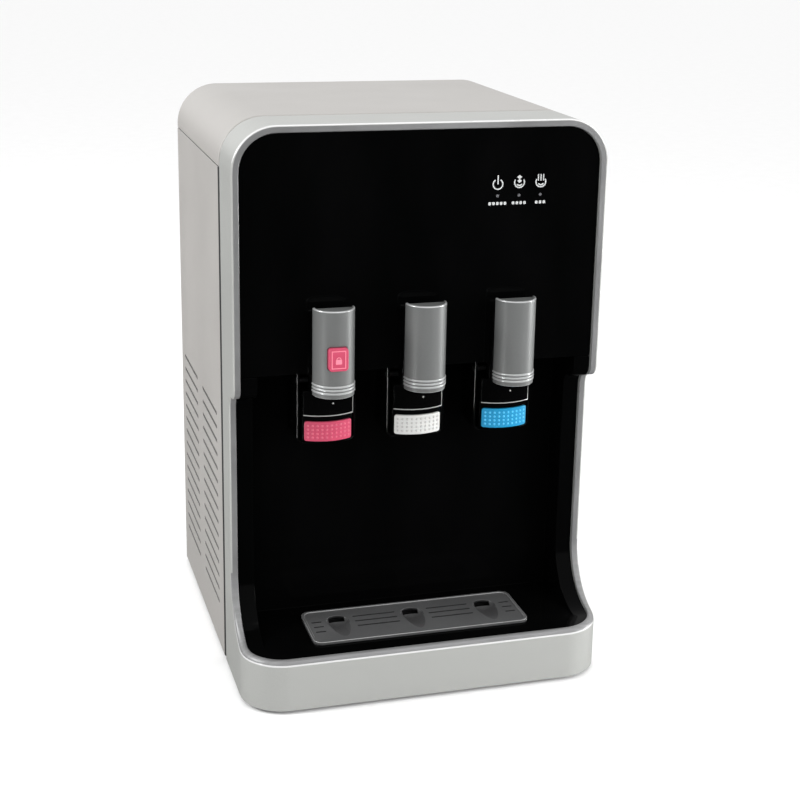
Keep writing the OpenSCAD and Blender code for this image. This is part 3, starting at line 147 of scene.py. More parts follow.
def vary_colour(material, shader, factor, dark, light):
    """Base colour between two shades"""
    ramp = material.node_tree.nodes.new("ShaderNodeValToRGB")
    ramp.color_ramp.elements[0].position = NOISE_LOW
    ramp.color_ramp.elements[1].position = NOISE_HIGH
    ramp.color_ramp.elements[0].color = (*dark, 1)
    ramp.color_ramp.elements[1].color = (*light, 1)
    material.node_tree.links.new(factor, ramp.inputs["Fac"])
    material.node_tree.links.new(ramp.outputs["Color"], shader.inputs["Base Color"])


def vary_roughness(material, shader, factor, low, high):
    """Roughness between two values"""
    spread = material.node_tree.nodes.new("ShaderNodeMapRange")
    spread.inputs["From Min"].default_value = NOISE_LOW
    spread.inputs["From Max"].default_value = NOISE_HIGH
    spread.inputs["To Min"].default_value = low
    spread.inputs["To Max"].default_value = high
    material.node_tree.links.new(factor, spread.inputs["Value"])
    material.node_tree.links.new(spread.outputs["Result"], shader.inputs["Roughness"])


def raise_grain(material, shader, factor, depth, strength=0.4):
    """Fine surface grain of a given depth"""
    bump = material.node_tree.nodes.new("ShaderNodeBump")
    bump.inputs["Strength"].default_value = strength
    bump.inputs["Distance"].default_value = depth * MM
    material.node_tree.links.new(factor, bump.inputs["Height"])
    material.node_tree.links.new(bump.outputs["Normal"], shader.inputs["Normal"])


def about(value, spread):
    """A lower and a higher value at a share of a value from it"""
    return value * (1 - spread), value * (1 + spread)


def shades(colour, spread):
    """A darker and a lighter shade of a colour"""
    return [c * (1 - spread) for c in colour], [min(1.0, c * (1 + spread)) for c in colour]


def moulded_finish(name, colour, roughness, grain=700, depth=0.03, spread=0.05, **constants):
    """Moulded or painted surface: slight colour drift, uneven gloss and a fine grain"""
    material, shader = new_finish(name, **constants)
    drift = object_noise(material, DRIFT_CELLS, DRIFT_DETAIL)
    fine = object_noise(material, grain)
    vary_colour(material, shader, drift, *shades(colour, spread))
    vary_roughness(material, shader, fine, *about(roughness, MOULDED_GLOSS_SPREAD))
    raise_grain(material, shader, fine, depth)
    return material


def flake_finish(name, colour, roughness, spread=0.07, **constants):
    """Metallic paint: fine flakes in the colour and the gloss"""
    material, shader = new_finish(name, **constants)
    flake = object_noise(material, FLAKE_CELLS, FLAKE_DETAIL)
    cloud = object_noise(material, CLOUD_CELLS)
    vary_colour(material, shader, flake, *shades(colour, spread))
    vary_roughness(material, shader, cloud, *about(roughness, PAINT_GLOSS_SPREAD))
    raise_grain(material, shader, flake, FLAKE_DEPTH, FLAKE_RELIEF)
    return material


def drawn_finish(name, colour, roughness, stretch, **constants):
    """Drawn or brushed metal with streaks along one direction"""
    material, shader = new_finish(name, **constants)
    streaks = object_noise(material, STREAK_CELLS, STREAK_DETAIL, stretch)
    vary_colour(material, shader, streaks, *shades(colour, STREAK_SPREAD))
    vary_roughness(material, shader, streaks, *about(roughness, DRAWN_GLOSS_SPREAD))
    raise_grain(material, shader, streaks, STREAK_DEPTH)
    return material


def gloss_black_finish(name, specular):
    """Polished black plastic with faint wipe marks in its gloss"""
    material, shader = new_finish(name, specular=specular)
    wipe = object_noise(material, WIPE_CELLS, WIPE_DETAIL, WIPE_STRETCH)
    waves = object_noise(material, WAVE_CELLS)
    vary_colour(material, shader, wipe, BLACK_DARK, BLACK_LIGHT)
    vary_roughness(material, shader, wipe, *BLACK_GLOSS)
    raise_grain(material, shader, waves, WAVE_DEPTH, WAVE_RELIEF)
    return material


def lens_finish():
    """Smoked moulded lens over a lamp that is off"""
    material, shader = new_finish("lamp_lens", specular=LENS_SPECULAR)
    shader.inputs["Transmission Weight"].default_value = LENS_CLEARNESS
    shader.inputs["IOR"].default_value = LENS_IOR
    cloud = object_noise(material, LENS_CELLS)
    vary_colour(material, shader, cloud, LENS_DARK, LENS_LIGHT)
    vary_roughness(material, shader, cloud, *LENS_GLOSS)
    return material


finishes = {
    "silver_frame": flake_finish("silver_paint_frame", (0.39, 0.395, 0.38), 0.40, metallic=0.12),
    "silver_casing": flake_finish("silver_paint_casing", (0.405, 0.391, 0.375), 0.46, metallic=0.10),
    "black_gloss": gloss_black_finish("polished_black", PANEL_SHINE),
    "grey_metallic": flake_finish("grey_metal_paint", (0.165, 0.170, 0.168), 0.45, metallic=0.30),
    "grille_grey": moulded_finish("grille_plastic", (0.084, 0.085, 0.086), 0.42, 900, 0.05, 0.08),
    "tray_black": moulded_finish("black_plastic", (0.018, 0.018, 0.019), 0.45, 800, 0.04),
    "pink_grip": moulded_finish("pink_plastic", (0.51, 0.056, 0.116), 0.34, 600, 0.02, subsurface=0.06),
    "white_grip": moulded_finish("white_plastic", (0.56, 0.56, 0.545), 0.34, 600, 0.02, subsurface=0.06),
    "blue_grip": moulded_finish("blue_plastic", (0.001, 0.235, 0.455), 0.34, 600, 0.02, subsurface=0.06),
    "lens_clear": lens_finish(),
    "steel": drawn_finish("brushed_steel", (0.56, 0.56, 0.57), 0.30, (1, 1, 0.04), metallic=1.0),
    "white_plastic": moulded_finish("valve_plastic", (0.70, 0.69, 0.64), 0.45),
    "hose_rubber": moulded_finish("hose_silicone", (0.66, 0.65, 0.60), 0.40, subsurface=0.2),
    "rubber_black": moulded_finish("black_rubber", (0.020, 0.020, 0.020), 0.70, 1100, 0.08),
    "rear_sheet": moulded_finish("grey_sheet_paint", (0.16, 0.165, 0.17), 0.50, 1400, 0.05),
    "foam_white": moulded_finish("expanded_foam", (0.78, 0.78, 0.75), 0.85, 380, 0.35, 0.08),
    "copper": drawn_finish("copper_tube", (0.62, 0.30, 0.17), 0.28, (1, 1, 0.08), metallic=1.0),
    "black_metal": moulded_finish("black_sheet_paint", (0.016, 0.016, 0.017), 0.42, 1400, 0.05),
    "board_green": moulded_finish("board_laminate", (0.02, 0.13, 0.06), 0.38, 500, 0.02, 0.15),
    "brown_bakelite": moulded_finish("brown_bakelite", (0.075, 0.045, 0.030), 0.38),
    "switch_red": moulded_finish("red_rocker", (0.42, 0.018, 0.016), 0.26, 600, 0.01),
    "switch_green": moulded_finish("green_rocker", (0.018, 0.22, 0.045), 0.26, 600, 0.01),
}
bezel_satin = drawn_finish("satin_bezel", (0.24, 0.241, 0.243), 0.42, (0.05, 1, 0.05), metallic=0.4)
# Painted highlight: a light silver for the front frame's outer rounding on the head's arch, on the rim's
# last row and on the seam's arch
painted_edge_highlight = flake_finish("bezel_painted_highlight", (0.68, 0.68, 0.68), 0.26, 0.03, metallic=0.1)
housing_black = gloss_black_finish("housing_black", HOUSING_SHINE)
# Painted shade: a dark grey for the walls and vanes of the louvres and the side panels' inner faces, so
# that the louvres read as dark lines
louvre_shade = moulded_finish("casing_painted_shade", (0.20, 0.195, 0.188), 0.55, 900, 0.05)
# Painted shade: a near-black for the rounded joints between the front frame and the casing, where the seam
# lies in shadow
joint_shade = moulded_finish("joint_painted_shade", (0.030, 0.030, 0.031), 0.60, 900, 0.05)
# Painted highlight: a light grey for the rim, ribs and lower lip of the spout covers
painted_spout_highlight = flake_finish("spout_painted_highlight", (0.52, 0.53, 0.53), 0.30, 0.04, metallic=0.45)
# Painted shade: a near-black steel for the lever pins and springs, which sit in shadow inside the tap
# housings
shaded_pin_steel = drawn_finish("lever_pin_painted_shade", (0.03, 0.03, 0.032), 0.38, (0.05, 1, 1), metallic=0.8)
# Painted highlight: a bright silver for the beads and studs on the levers' brows
lever_painted_highlight = flake_finish("lever_painted_highlight", (0.62, 0.62, 0.61), 0.20, 0.03, metallic=0.6)
# Painted highlight: a lighter grey for the rounded edges round the grille's raised rim
painted_rim_highlight = flake_finish("grille_rim_painted_highlight", (0.34, 0.34, 0.34), 0.26, 0.05, metallic=0.4)
# Painted shade: a darker grey for the hollows in the grille
grille_hollow_painted_shade = moulded_finish("grille_hollow_painted_shade", (0.058, 0.058, 0.059), 0.55, 900, 0.05, 0.08)
panel_print = moulded_finish("panel_print", (0.50, 0.51, 0.51), 0.50, 1500, 0.01, 0.06)
pale_pink = moulded_finish("pale_pink_relief", (0.80, 0.22, 0.30), 0.36, 600, 0.02)

# Bumps on the pads: the white pad's bumps are darker than the pad as painted shade; the pink and blue
# bumps are lighter than their pads
dot_finishes = {
    "hot": moulded_finish("pink_dots", (0.62, 0.12, 0.19), 0.34, 600, 0.02),
    "ambient": moulded_finish("white_dots_painted_shade", (0.44, 0.44, 0.43), 0.34, 600, 0.02),
    "cold": moulded_finish("blue_dots", (0.08, 0.46, 0.74), 0.34, 600, 0.02),
}

own_finishes = {"alcove_liner": gloss_black_finish("alcove_black", ALCOVE_SHINE)}
slot_of = {part["node"]: part["material_slot"] for part in frame["record"]["subparts"]}
for node, solid in frame["nodes"].items():
    # Lever pins and springs take a painted shade
    in_housing_shade = node.endswith(("_lever_pin", "_lever_spring"))
    for holder in solid.material_slots:
        holder.material = shaded_pin_steel if in_housing_shade else finishes[slot_of[node]]


# Mesh helpers

# Angles in degrees: where shading breaks, where an edge is eased and where two faces are one
SHADING_BREAK = 32
EASED_ANGLE = 30
PLAIN_ANGLE = 0.5
MERGE_DISTANCE = 0.001
# Steps of an ordinary and of a slight rounding
ROUND_STEPS = 3
SLIGHT_STEPS = 2


def add_piece(name, bm, body, slot, *materials):
    """Makes a bmesh a smooth piece that rides on a body"""
    mesh = bpy.data.meshes.new(name)
    bm.to_mesh(mesh)
    bm.free()
    for material in materials:
        mesh.materials.append(material)
    mesh.shade_smooth()
    mesh.set_sharp_from_angle(angle=radians(SHADING_BREAK))
    piece = bpy.data.objects.new(name, mesh)
    bpy.context.scene.collection.objects.link(piece)
    shading = piece.modifiers.new("even_shading", "WEIGHTED_NORMAL")
    shading.keep_sharp = True
    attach(piece, body)
    return piece


def stand_in(node, bm, *materials):
    """A finished piece in the place of its CAD node"""
    body = frame["nodes"][node]["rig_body"]
    piece = add_piece(node + "_finished", bm, body, slot_of[node], *materials)
    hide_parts(node)
    return piece


def detail_on(node, name, bm, *materials):
    """A new detail that rides with a CAD node"""
    bmesh.ops.recalc_face_normals(bm, faces=bm.faces)
    return add_piece(name, bm, frame["nodes"][node]["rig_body"], slot_of[node], *materials)


def merged_copy(node):
    """A CAD node's mesh with its triangles joined into plain faces"""
    bm = bmesh.new()
    bm.from_mesh(frame["nodes"][node].data)
    for face in bm.faces:
        face.material_index = 0
    bmesh.ops.remove_doubles(bm, verts=bm.verts, dist=MERGE_DISTANCE * MM)
    bmesh.ops.dissolve_limit(bm, angle_limit=radians(PLAIN_ANGLE), verts=bm.verts, edges=bm.edges)
    return bm


def sharp_edges(bm):
    """Edges where two faces meet at an angle"""
    return [e for e in bm.edges if e.is_manifold and e.calc_face_angle(0) > radians(EASED_ANGLE)]


def middle_of(edge):
    """The point halfway along an edge"""
    return (edge.verts[0].co + edge.verts[1].co) / 2


def ease(bm, edges, width, segments=ROUND_STEPS):
    """Rounds edges over and returns the new faces"""
    made = bmesh.ops.bevel(
        bm, geom=edges, offset=width * MM, offset_type="OFFSET", segments=segments, profile=0.5,
        affect="EDGES", clamp_overlap=False, loop_slide=True, material=-1,
    )
    return made["faces"]


def eased_node(node, width, segments=ROUND_STEPS, finish=None):
    """A CAD node with all of its edges rounded over"""
    bm = merged_copy(node)
    ease(bm, sharp_edges(bm), width, segments)
    return stand_in(node, bm, finish or finishes[slot_of[node]])


def nearest_on(lines, point):
    """The point of a set of straight lines that lies nearest to a point"""
    best = None
    for start, end in lines:
        share = intersect_point_line(point, start, end)[1]
        foot = start.lerp(end, min(1.0, max(0.0, share)))
        if best is None or (foot - point).length < (best - point).length:
            best = foot
    return best


# Front frame

# Places of the finishes on the front frame
SILVER_INDEX = 0
BEZEL_INDEX = 1
BEZEL_HIGHLIGHT_INDEX = 2
JOINT_SHADOW_INDEX = 3
# Rounding along the seam behind the frame, drawn out along the skin by a factor
SEAM_EASE = 2.0
SEAM_STRETCH = 1.8
# Shares of rise between which a rounding belongs to the arch over the head
ARC_LOW = 0.20
ARC_HIGH = 0.97
# Share of a normal from which a rounding faces the back
BACKWARD = 0.5
# Roundings of the rim of the base, of the sides, of the inner edge and at the back
RIM_EASE = 4.5
RIM_STEPS = 5
SIDE_EASE = 1.4
INNER_EASE = 0.9
BACK_EASE = 0.6
# Height over which the rim's rounding narrows to that of the sides, and up to which its last row carries a
# painted highlight
EASE_FADE = 24
SHINE_RISE = 60
# Slack for a face that counts as flat, and the share of a normal that counts as facing
FLAT = 0.05
FACING = 0.5
# Height of the strip over the front panel, and of the head's underside over the middle
TOP_STRIP = 10
UNDERSIDE_RISE = 100
# Rim of the base over the liner's underside, and the slack below it
RIM_RISE = 5
RIM_SLACK = 0.5
frame_low, frame_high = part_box("front_frame")
rim_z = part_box("alcove_liner")[0].z + RIM_RISE * MM
frame_middle = (frame_low + frame_high) / 2


def faces_the_user(face):
    """True for the strip of the front frame that runs round the black front"""
    centre = face.calc_center_median()
    if abs(face.normal.x) > FLAT or face.normal.y > FLAT:
        return False
    if centre.z > frame_high.z - TOP_STRIP * MM:
        return face.normal.y < -FACING
    underside = face.normal.z < -FACING and centre.z > frame_middle.z + UNDERSIDE_RISE * MM
    return centre.z > rim_z - RIM_SLACK * MM and not underside


def is_outer(edge):
    """True where the strip meets an outside face of the frame"""
    beside = [f for f in edge.link_faces if f.material_index != BEZEL_INDEX]
    return any(f.normal.dot(middle_of(edge) - frame_middle) > 0 for f in beside)


def rim_share(corner):
    """Share of the wide rounding that is kept: all of it on the base, a little on the head"""
    side_share = SIDE_EASE / RIM_EASE
    fade = min(1.0, max(0.0, (corner.z - rim_z) / (EASE_FADE * MM)))
    return 1 - fade * (1 - side_share)


def edge_finish(face):
    """Finish of the strip's outer rounding: a painted highlight on the head's arch and on the rim's last
    row
    """
    height = face.calc_center_median().z
    if height > rim_z + SHINE_RISE * MM:
        on_arch = height > frame_middle.z and face.normal.z > ARC_LOW
        return BEZEL_HIGHLIGHT_INDEX if on_arch else SILVER_INDEX
    beside = {f.material_index for e in face.edges for f in e.link_faces}
    return BEZEL_HIGHLIGHT_INDEX if SILVER_INDEX in beside else BEZEL_INDEX


def at_the_seam(edge):
    """True for the outside edge along the back of the front frame"""
    if min(v.co.y for v in edge.verts) < frame_high.y - FLAT * MM:
        return False
    side = min(edge.link_faces, key=lambda f: f.normal.y)
    return side.normal.dot(middle_of(edge) - frame_middle) > 0


def widen_seam(rounded, seam_y):
    """Draws the rounding along a seam out over the skin beside it"""
    for vert in {v for f in rounded for v in f.verts}:
        vert.co.y = seam_y + (vert.co.y - seam_y) * SEAM_STRETCH


def make_front_frame():
    """Front frame: silver outside, satin strip round the black front, a painted highlight on parts of the
    edges between them and on the seam's arch, and painted shade down the seam
    """
    bm = merged_copy("front_frame")
    for face in bm.faces:
        face.material_index = BEZEL_INDEX if faces_the_user(face) else SILVER_INDEX
    strip_edges = [e for e in sharp_edges(bm) if len({f.material_index for f in e.link_faces}) == 2]
    outer = [e for e in strip_edges if is_outer(e)]
    lines = [(e.verts[0].co.copy(), e.verts[1].co.copy()) for e in outer]
    rounded = ease(bm, outer, RIM_EASE, RIM_STEPS)
    for vert in {v for f in rounded for v in f.verts}:
        corner = nearest_on(lines, vert.co)
        vert.co = corner.lerp(vert.co, rim_share(corner))
    for face in rounded:
        face.material_index = BEZEL_INDEX
    # The outer rounding takes the painted highlight where edge_finish puts it
    for face, finish in [(f, edge_finish(f)) for f in rounded]:
        face.material_index = finish
    inner = [e for e in sharp_edges(bm) if BEZEL_INDEX in {f.material_index for f in e.link_faces}]
    for face in ease(bm, inner, INNER_EASE):
        face.material_index = BEZEL_INDEX
    seam = ease(bm, [e for e in sharp_edges(bm) if at_the_seam(e)], SEAM_EASE)
    widen_seam(seam, frame_high.y)
    # Painted shade on the seam's upright sides, and a painted highlight on its rounding over the head's
    # arch
    for face in seam:
        rise = face.normal.z / max(FLAT, Vector((face.normal.x, face.normal.z)).length)
        if rise < ARC_LOW:
            face.material_index = JOINT_SHADOW_INDEX
        elif rise < ARC_HIGH and face.normal.y < BACKWARD:
            face.material_index = BEZEL_HIGHLIGHT_INDEX
    silver = [e for e in sharp_edges(bm) if e.link_faces[0].material_index == SILVER_INDEX]
    ease(bm, silver, BACK_EASE, SLIGHT_STEPS)
    return stand_in("front_frame", bm, finishes["silver_frame"], bezel_satin, painted_edge_highlight, joint_shade)


make_front_frame()


# Casing

# Places of the finishes on a side panel
PAINT_INDEX = 0
LOUVRE_SHADOW_INDEX = 1
SHADE_INDEX = 2
# Depth to which the silver paint reaches, with a painted shade on the faces below it, and the rounding of
# the louvres
PAINT_DEPTH = 0.4
SLOT_EASE = 0.35
# Rounding of the casing's other pieces
EASES = {
    "top_cover": 1.2, "rear_panel": 0.3, "front_panel": 0.6, "alcove_liner": 0.6, "tap_plate": 0.5,
    "drip_tray": 0.5, "power_panel": 0.5, "feet": 0.5, "drain_plug": 0.5, "inlet_valve": 0.5,
    "hot_switch": 0.6, "cold_switch": 0.6,
}
SLIGHTLY_ROUND = ("rear_panel",)


def make_side_panel(node):
    """Side panel: silver paint outside, painted shade in its louvres and inner faces and in the joint to
    the front frame
    """
    bm = merged_copy(node)
    low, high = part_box(node)
    outer_x = max(abs(low.x), abs(high.x))
    # Faces under the outer skin take the louvres' painted shade
    for face in bm.faces:
        painted = abs(face.calc_center_median().x) > outer_x - PAINT_DEPTH * MM
        face.material_index = PAINT_INDEX if painted else LOUVRE_SHADOW_INDEX
    skin = [v for v in bm.verts if abs(v.co.x) > outer_x - FLAT * MM]
    front_y = min(v.co.y for v in skin)
    front = {v for v in skin if v.co.y < front_y + FLAT * MM}
    seam = ease(bm, [e for e in sharp_edges(bm) if front.issuperset(e.verts)], SEAM_EASE)
    widen_seam(seam, front_y)
    # Painted shade on the rounded joint to the front frame
    for face in seam:
        face.material_index = SHADE_INDEX
    ease(bm, sharp_edges(bm), SLOT_EASE, SLIGHT_STEPS)
    return stand_in(node, bm, finishes["silver_casing"], louvre_shade, joint_shade)


for node in ("left_side_panel", "right_side_panel"):
    make_side_panel(node)
for node, width in EASES.items():
    steps = SLIGHT_STEPS if node in SLIGHTLY_ROUND else ROUND_STEPS
    eased_node(node, width, steps, own_finishes.get(node))


# Drip grille

# Places of the finishes on the grille
GRILLE_RIM_HIGHLIGHT_INDEX = 1
HOLLOW_SHADOW_INDEX = 2
SLOT_SHADOW_INDEX = 3
# Roundings of the raised rim and of the rest
GRILLE_RIM_EASE = 0.5
GRILLE_EASE = 0.2
# Width of the rim, the plate's depth below it, and what counts as a hollow in the plate
GRILLE_RIM = 3.0
GRILLE_DIP = 0.7
HOLLOW_DEPTH = 0.4
HOLLOW_TILT = 0.1
grille_low, grille_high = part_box("drip_grille")


def inside_the_rim(point):
    """True for a point on the drip grille that lies inside its raised rim"""
    rim = GRILLE_RIM * MM
    across = grille_low.x + rim < point.x < grille_high.x - rim
    return across and grille_low.y + rim < point.y < grille_high.y - rim


def make_drip_grille():
    """Drip grille with a painted highlight on the edges round its raised rim, and painted shade in the
    hollows under the taps and in its slots
    """
    bm = merged_copy("drip_grille")
    top_z = grille_high.z
    hollow_z = top_z - (GRILLE_DIP + HOLLOW_DEPTH) * MM
    # Painted shade in the hollows under the taps
    for face in bm.faces:
        if face.normal.z > HOLLOW_TILT and face.calc_center_median().z < hollow_z:
            face.material_index = HOLLOW_SHADOW_INDEX
    rim = [e for e in sharp_edges(bm) if min(v.co.z for v in e.verts) > top_z - FLAT * MM]
    for face in ease(bm, rim, GRILLE_RIM_EASE):
        face.material_index = GRILLE_RIM_HIGHLIGHT_INDEX
    # Painted shade: the slot walls inside the rim take the black of the tray
    for face in bm.faces:
        if abs(face.normal.z) < FLAT and inside_the_rim(face.calc_center_median()):
            face.material_index = SLOT_SHADOW_INDEX
    ease(bm, sharp_edges(bm), GRILLE_EASE, SLIGHT_STEPS)
    return stand_in(
        "drip_grille", bm, finishes["grille_grey"], painted_rim_highlight, grille_hollow_painted_shade, finishes["tray_black"]
    )


make_drip_grille()


# Taps

# Place of the painted highlight on a spout cover
SPOUT_HIGHLIGHT_INDEX = 1
# Roundings of a cover, of its rim, of a tap's other pieces and of the button
COVER_EASE = 0.35
COVER_RIM_EASE = 1.1
HOUSING_EASE = 1.5
LEVER_EASE = 0.3
BUTTON_EASE = 0.7
# How far the ribs stand out, and the share of a normal that points straight out
RIB_STEP = 0.5
STRAIGHT = 0.9


def outward(face, point, axis):
    """Share of a face's normal that points away from an upright axis at a point"""
    return face.normal.xy.dot((point.xy - axis).normalized())


def make_spout_cover(tap):
    """Spout cover: grey body with a painted highlight on its rounded rim, its ribs and its lower lip"""
    node = tap + "_spout_cover"
    bm = merged_copy(node)
    low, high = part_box(node)
    axis = Vector(((low.x + high.x) / 2, high.y))
    rib_r = (high.x - low.x) / 2
    rim = []
    for edge in sharp_edges(bm):
        middle = middle_of(edge)
        side = min(edge.link_faces, key=lambda f: abs(f.normal.z))
        if middle.z > high.z - FLAT * MM and outward(side, middle, axis) > STRAIGHT:
            rim.append(edge)
    for face in ease(bm, rim, COVER_RIM_EASE):
        face.material_index = SPOUT_HIGHLIGHT_INDEX
    for face in ease(bm, sharp_edges(bm), COVER_EASE):
        centre = face.calc_center_median()
        if centre.z < low.z + COVER_EASE * MM and outward(face, centre, axis) > 0:
            face.material_index = SPOUT_HIGHLIGHT_INDEX
    for face in bm.faces:
        if (face.calc_center_median().xy - axis).length > rib_r - RIB_STEP * MM:
            face.material_index = SPOUT_HIGHLIGHT_INDEX
    return stand_in(node, bm, finishes["grey_metallic"], painted_spout_highlight)


for tap in TAPS:
    make_spout_cover(tap)
    eased_node(tap + "_tap_housing", HOUSING_EASE, finish=housing_black)
    eased_node(tap + "_lever", LEVER_EASE)
eased_node("child_lock_button", BUTTON_EASE)


# Grip pads and a painted highlight on the levers

# Steps of a block's round corners and of a dome, and the share of a dome that sinks in
CORNER_STEPS = 5
DOME_SIDES = 10
DOME_RINGS = 6
DOME_SUNK = 0.3
BEND_STEPS = 18
# Place of the finish of the bumps on a pad, and the rows of bumps
DOT_INDEX = 1
DOT_COLUMNS = 10
DOT_ROWS = 4
DOT_MARGIN = 3.4
DOT_R = 1.05
DOT_RISE = 0.55
# A pad's thickness, its face behind the CAD pad's, and its roundings
PAD_T = 1.9
PAD_DIP = 0.15
PAD_CORNER = 2.0
PAD_EASE = 0.7
# Radius of the bend of the pads and of the lever's brow
GRIP_R = 38
BROW_R = 39
# Lower and upper edge of the brow over the lever's foot
BROW_LIFT = 22.6
BROW_TOP = 43.0
# Bead of painted highlight along the brow, with a narrower upright at its right end
BEAD_H = 0.9
BEAD_SIDE = 0.55
BEAD_T = 0.5
BEAD_PROUD = 0.15
BEAD_CORNER = 0.3
BEAD_SIDE_CORNER = 0.2
BEAD_EASE = 0.15
# Small stud on the brow, a painted glint
STUD_R = 0.8
STUD_RISE = 0.5
STUD_AT = 0.12
STUD_DROP = 9.5


def block(bm, low, high, corner, edge_ease):
    """A block whose corners are round seen from the front and whose front edges are eased"""
    middle = (Vector(low) + Vector(high)) / 2
    size = Vector(high) - Vector(low)
    known = set(bm.faces)
    place = Matrix.Translation(middle) @ Matrix.Diagonal((*size, 1))
    verts = bmesh.ops.create_cube(bm, size=1, matrix=place)["verts"]
    edges = {e for v in verts for e in v.link_edges}
    upright = [e for e in edges if abs(e.verts[0].co.y - e.verts[1].co.y) > size.y / 2]
    bmesh.ops.bevel(
        bm, geom=upright, offset=corner, segments=CORNER_STEPS, profile=0.5, affect="EDGES",
        material=-1,
    )
    front = [f for f in set(bm.faces) - known if f.normal.y < -STRAIGHT]
    rim = [e for f in front for e in f.edges]
    bmesh.ops.bevel(
        bm, geom=rim, offset=edge_ease, segments=ROUND_STEPS, profile=0.5, affect="EDGES",
        material=-1,
    )


def dome(bm, at, radius, height, index=0):
    """A low round bump that faces the user"""
    place = Matrix.Translation(at) @ Matrix.Diagonal((radius, height, radius, 1))
    turned = place @ Matrix.Rotation(pi / 2, 4, "X")
    made = bmesh.ops.create_uvsphere(
        bm, u_segments=DOME_SIDES, v_segments=DOME_RINGS, radius=1, matrix=turned
    )
    verts = made["verts"]
    back = [v for v in verts if v.co.y > at[1] + DOME_SUNK * height]
    for face in {f for v in verts for f in v.link_faces}:
        face.material_index = index
    bmesh.ops.delete(bm, geom=back, context="VERTS")
    bmesh.ops.holes_fill(bm, edges=[e for e in bm.edges if e.is_boundary], sides=0)


def slice_for_bending(bm, half):
    """Cuts a flat piece into narrow strips so that it can follow a bend"""
    for step in range(1, BEND_STEPS):
        x = -half + 2 * half * step / BEND_STEPS
        geometry = bm.verts[:] + bm.edges[:] + bm.faces[:]
        bmesh.ops.bisect_plane(bm, geom=geometry, plane_co=(x, 0, 0), plane_no=(1, 0, 0))


def bend(bm, centre_x, axis_y, radius):
    """Bends a flat piece, drawn in front of y = 0, round an upright axis behind it"""
    for vert in bm.verts:
        turn = vert.co.x / radius
        reach = radius - vert.co.y
        vert.co = (centre_x + reach * sin(turn), axis_y - reach * cos(turn), vert.co.z)


def make_grip_pad(tap):
    """Grip pad: bent round the lever, soft corners, rows of small bumps"""
    node = tap + "_grip_pad"
    low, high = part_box(node)
    radius = GRIP_R * MM
    half = radius * asin((high.x - low.x) / 2 / radius)
    margin = DOT_MARGIN * MM
    face_y = PAD_DIP * MM
    bm = bmesh.new()
    block(bm, (-half, face_y, low.z), (half, PAD_T * MM, high.z), PAD_CORNER * MM, PAD_EASE * MM)
    slice_for_bending(bm, half)
    for column in range(DOT_COLUMNS):
        for row in range(DOT_ROWS):
            x = -half + margin + 2 * (half - margin) * column / (DOT_COLUMNS - 1)
            z = low.z + margin + (high.z - low.z - 2 * margin) * row / (DOT_ROWS - 1)
            dome(bm, (x, face_y, z), DOT_R * MM, DOT_RISE * MM, DOT_INDEX)
    bend(bm, (low.x + high.x) / 2, low.y + radius, radius)
    bmesh.ops.recalc_face_normals(bm, faces=bm.faces)
    return stand_in(node, bm, finishes[slot_of[node]], dot_finishes[tap])


def make_lever_highlight_bead(tap):
    """Painted highlight: a bright bead along the lower and right edges of a lever's brow, and a small stud
    on it as a painted glint
    """
    pad_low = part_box(tap + "_grip_pad")[0]
    lever_low, lever_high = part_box(tap + "_lever")
    axis_y = pad_low.y + GRIP_R * MM
    radius = BROW_R * MM
    brow_z = lever_low.z + BROW_LIFT * MM
    brow_top_z = lever_low.z + BROW_TOP * MM
    half = radius * asin((lever_high.x - lever_low.x) / 2 / radius)
    near = -BEAD_PROUD * MM
    far = near + BEAD_T * MM
    bm = bmesh.new()
    bead_top = (half, far, brow_z + BEAD_H * MM)
    block(bm, (-half, near, brow_z), bead_top, BEAD_CORNER * MM, BEAD_EASE * MM)
    upright = (half - BEAD_SIDE * MM, near, brow_z)
    block(bm, upright, (half, far, brow_top_z), BEAD_SIDE_CORNER * MM, BEAD_EASE * MM)
    slice_for_bending(bm, half)
    dome(bm, (STUD_AT * half, 0, brow_top_z - STUD_DROP * MM), STUD_R * MM, STUD_RISE * MM)
    bend(bm, (lever_low.x + lever_high.x) / 2, axis_y, radius)
    return detail_on(tap + "_lever", tap + "_lever_highlight_bead", bm, lever_painted_highlight)


for tap in TAPS:
    make_grip_pad(tap)
    make_lever_highlight_bead(tap)


# Prints on the front panel and relief on the child-lock button

ARC_STEPS = 14
CORNER_ARC_STEPS = 3
# Stroke and thickness of the prints, and the height of the symbols over the lamps
STROKE = 1.0
PRINT_T = 0.12
ICON_RISE = 11
# Ring of the power symbol, its open angle to each side, and the bar's end below the ring's top
RING_R = 4.1
RING_GAP = 32
RING_DROP = 1.6
BAR_SHORT = 0.2
# Cup of the other symbols, its open angle to each side, and the water in it
CUP_R = 4.2
CUP_OPEN = 58
CUP_DROP = 0.6
WATER_HALF = 2.3
WATER_DROP = 1.7
WATER_DIP = 2.6
WATER_GAP = 1.1
WATER_ARC = (130, 230)
WATER_STEPS = 8
# Ice cubes, each with its height and its half width and half height
CUBES = ((3.7, 2.2, 1.7), (0.6, 2.0, 1.6))
# Plumes of steam
PLUME_XS = (-2.2, 0, 2.2)
PLUME_HALF = 0.45
PLUME_LOW = 0.3
PLUME_HIGH = 5.6
# Ticks below the lamps
TICK_COUNTS = (5, 4, 3)
TICK_W = 2.2
TICK_H = 2.5
TICK_PITCH = 3.25
TICK_DROP = 6.2
TICK_CORNER = 0.7
# Relief on the button: frame inside the flange, and a padlock
RELIEF_T = 0.18
RELIEF_STROKE = 0.7
RELIEF_INSET = 2.2
BUTTON_FLANGE = 1.5
LOCK_HALF = 2.5
LOCK_DROP = 3.6
LOCK_TOP = 0.2
LOCK_CORNER = 0.6
SHACKLE_R = 1.7


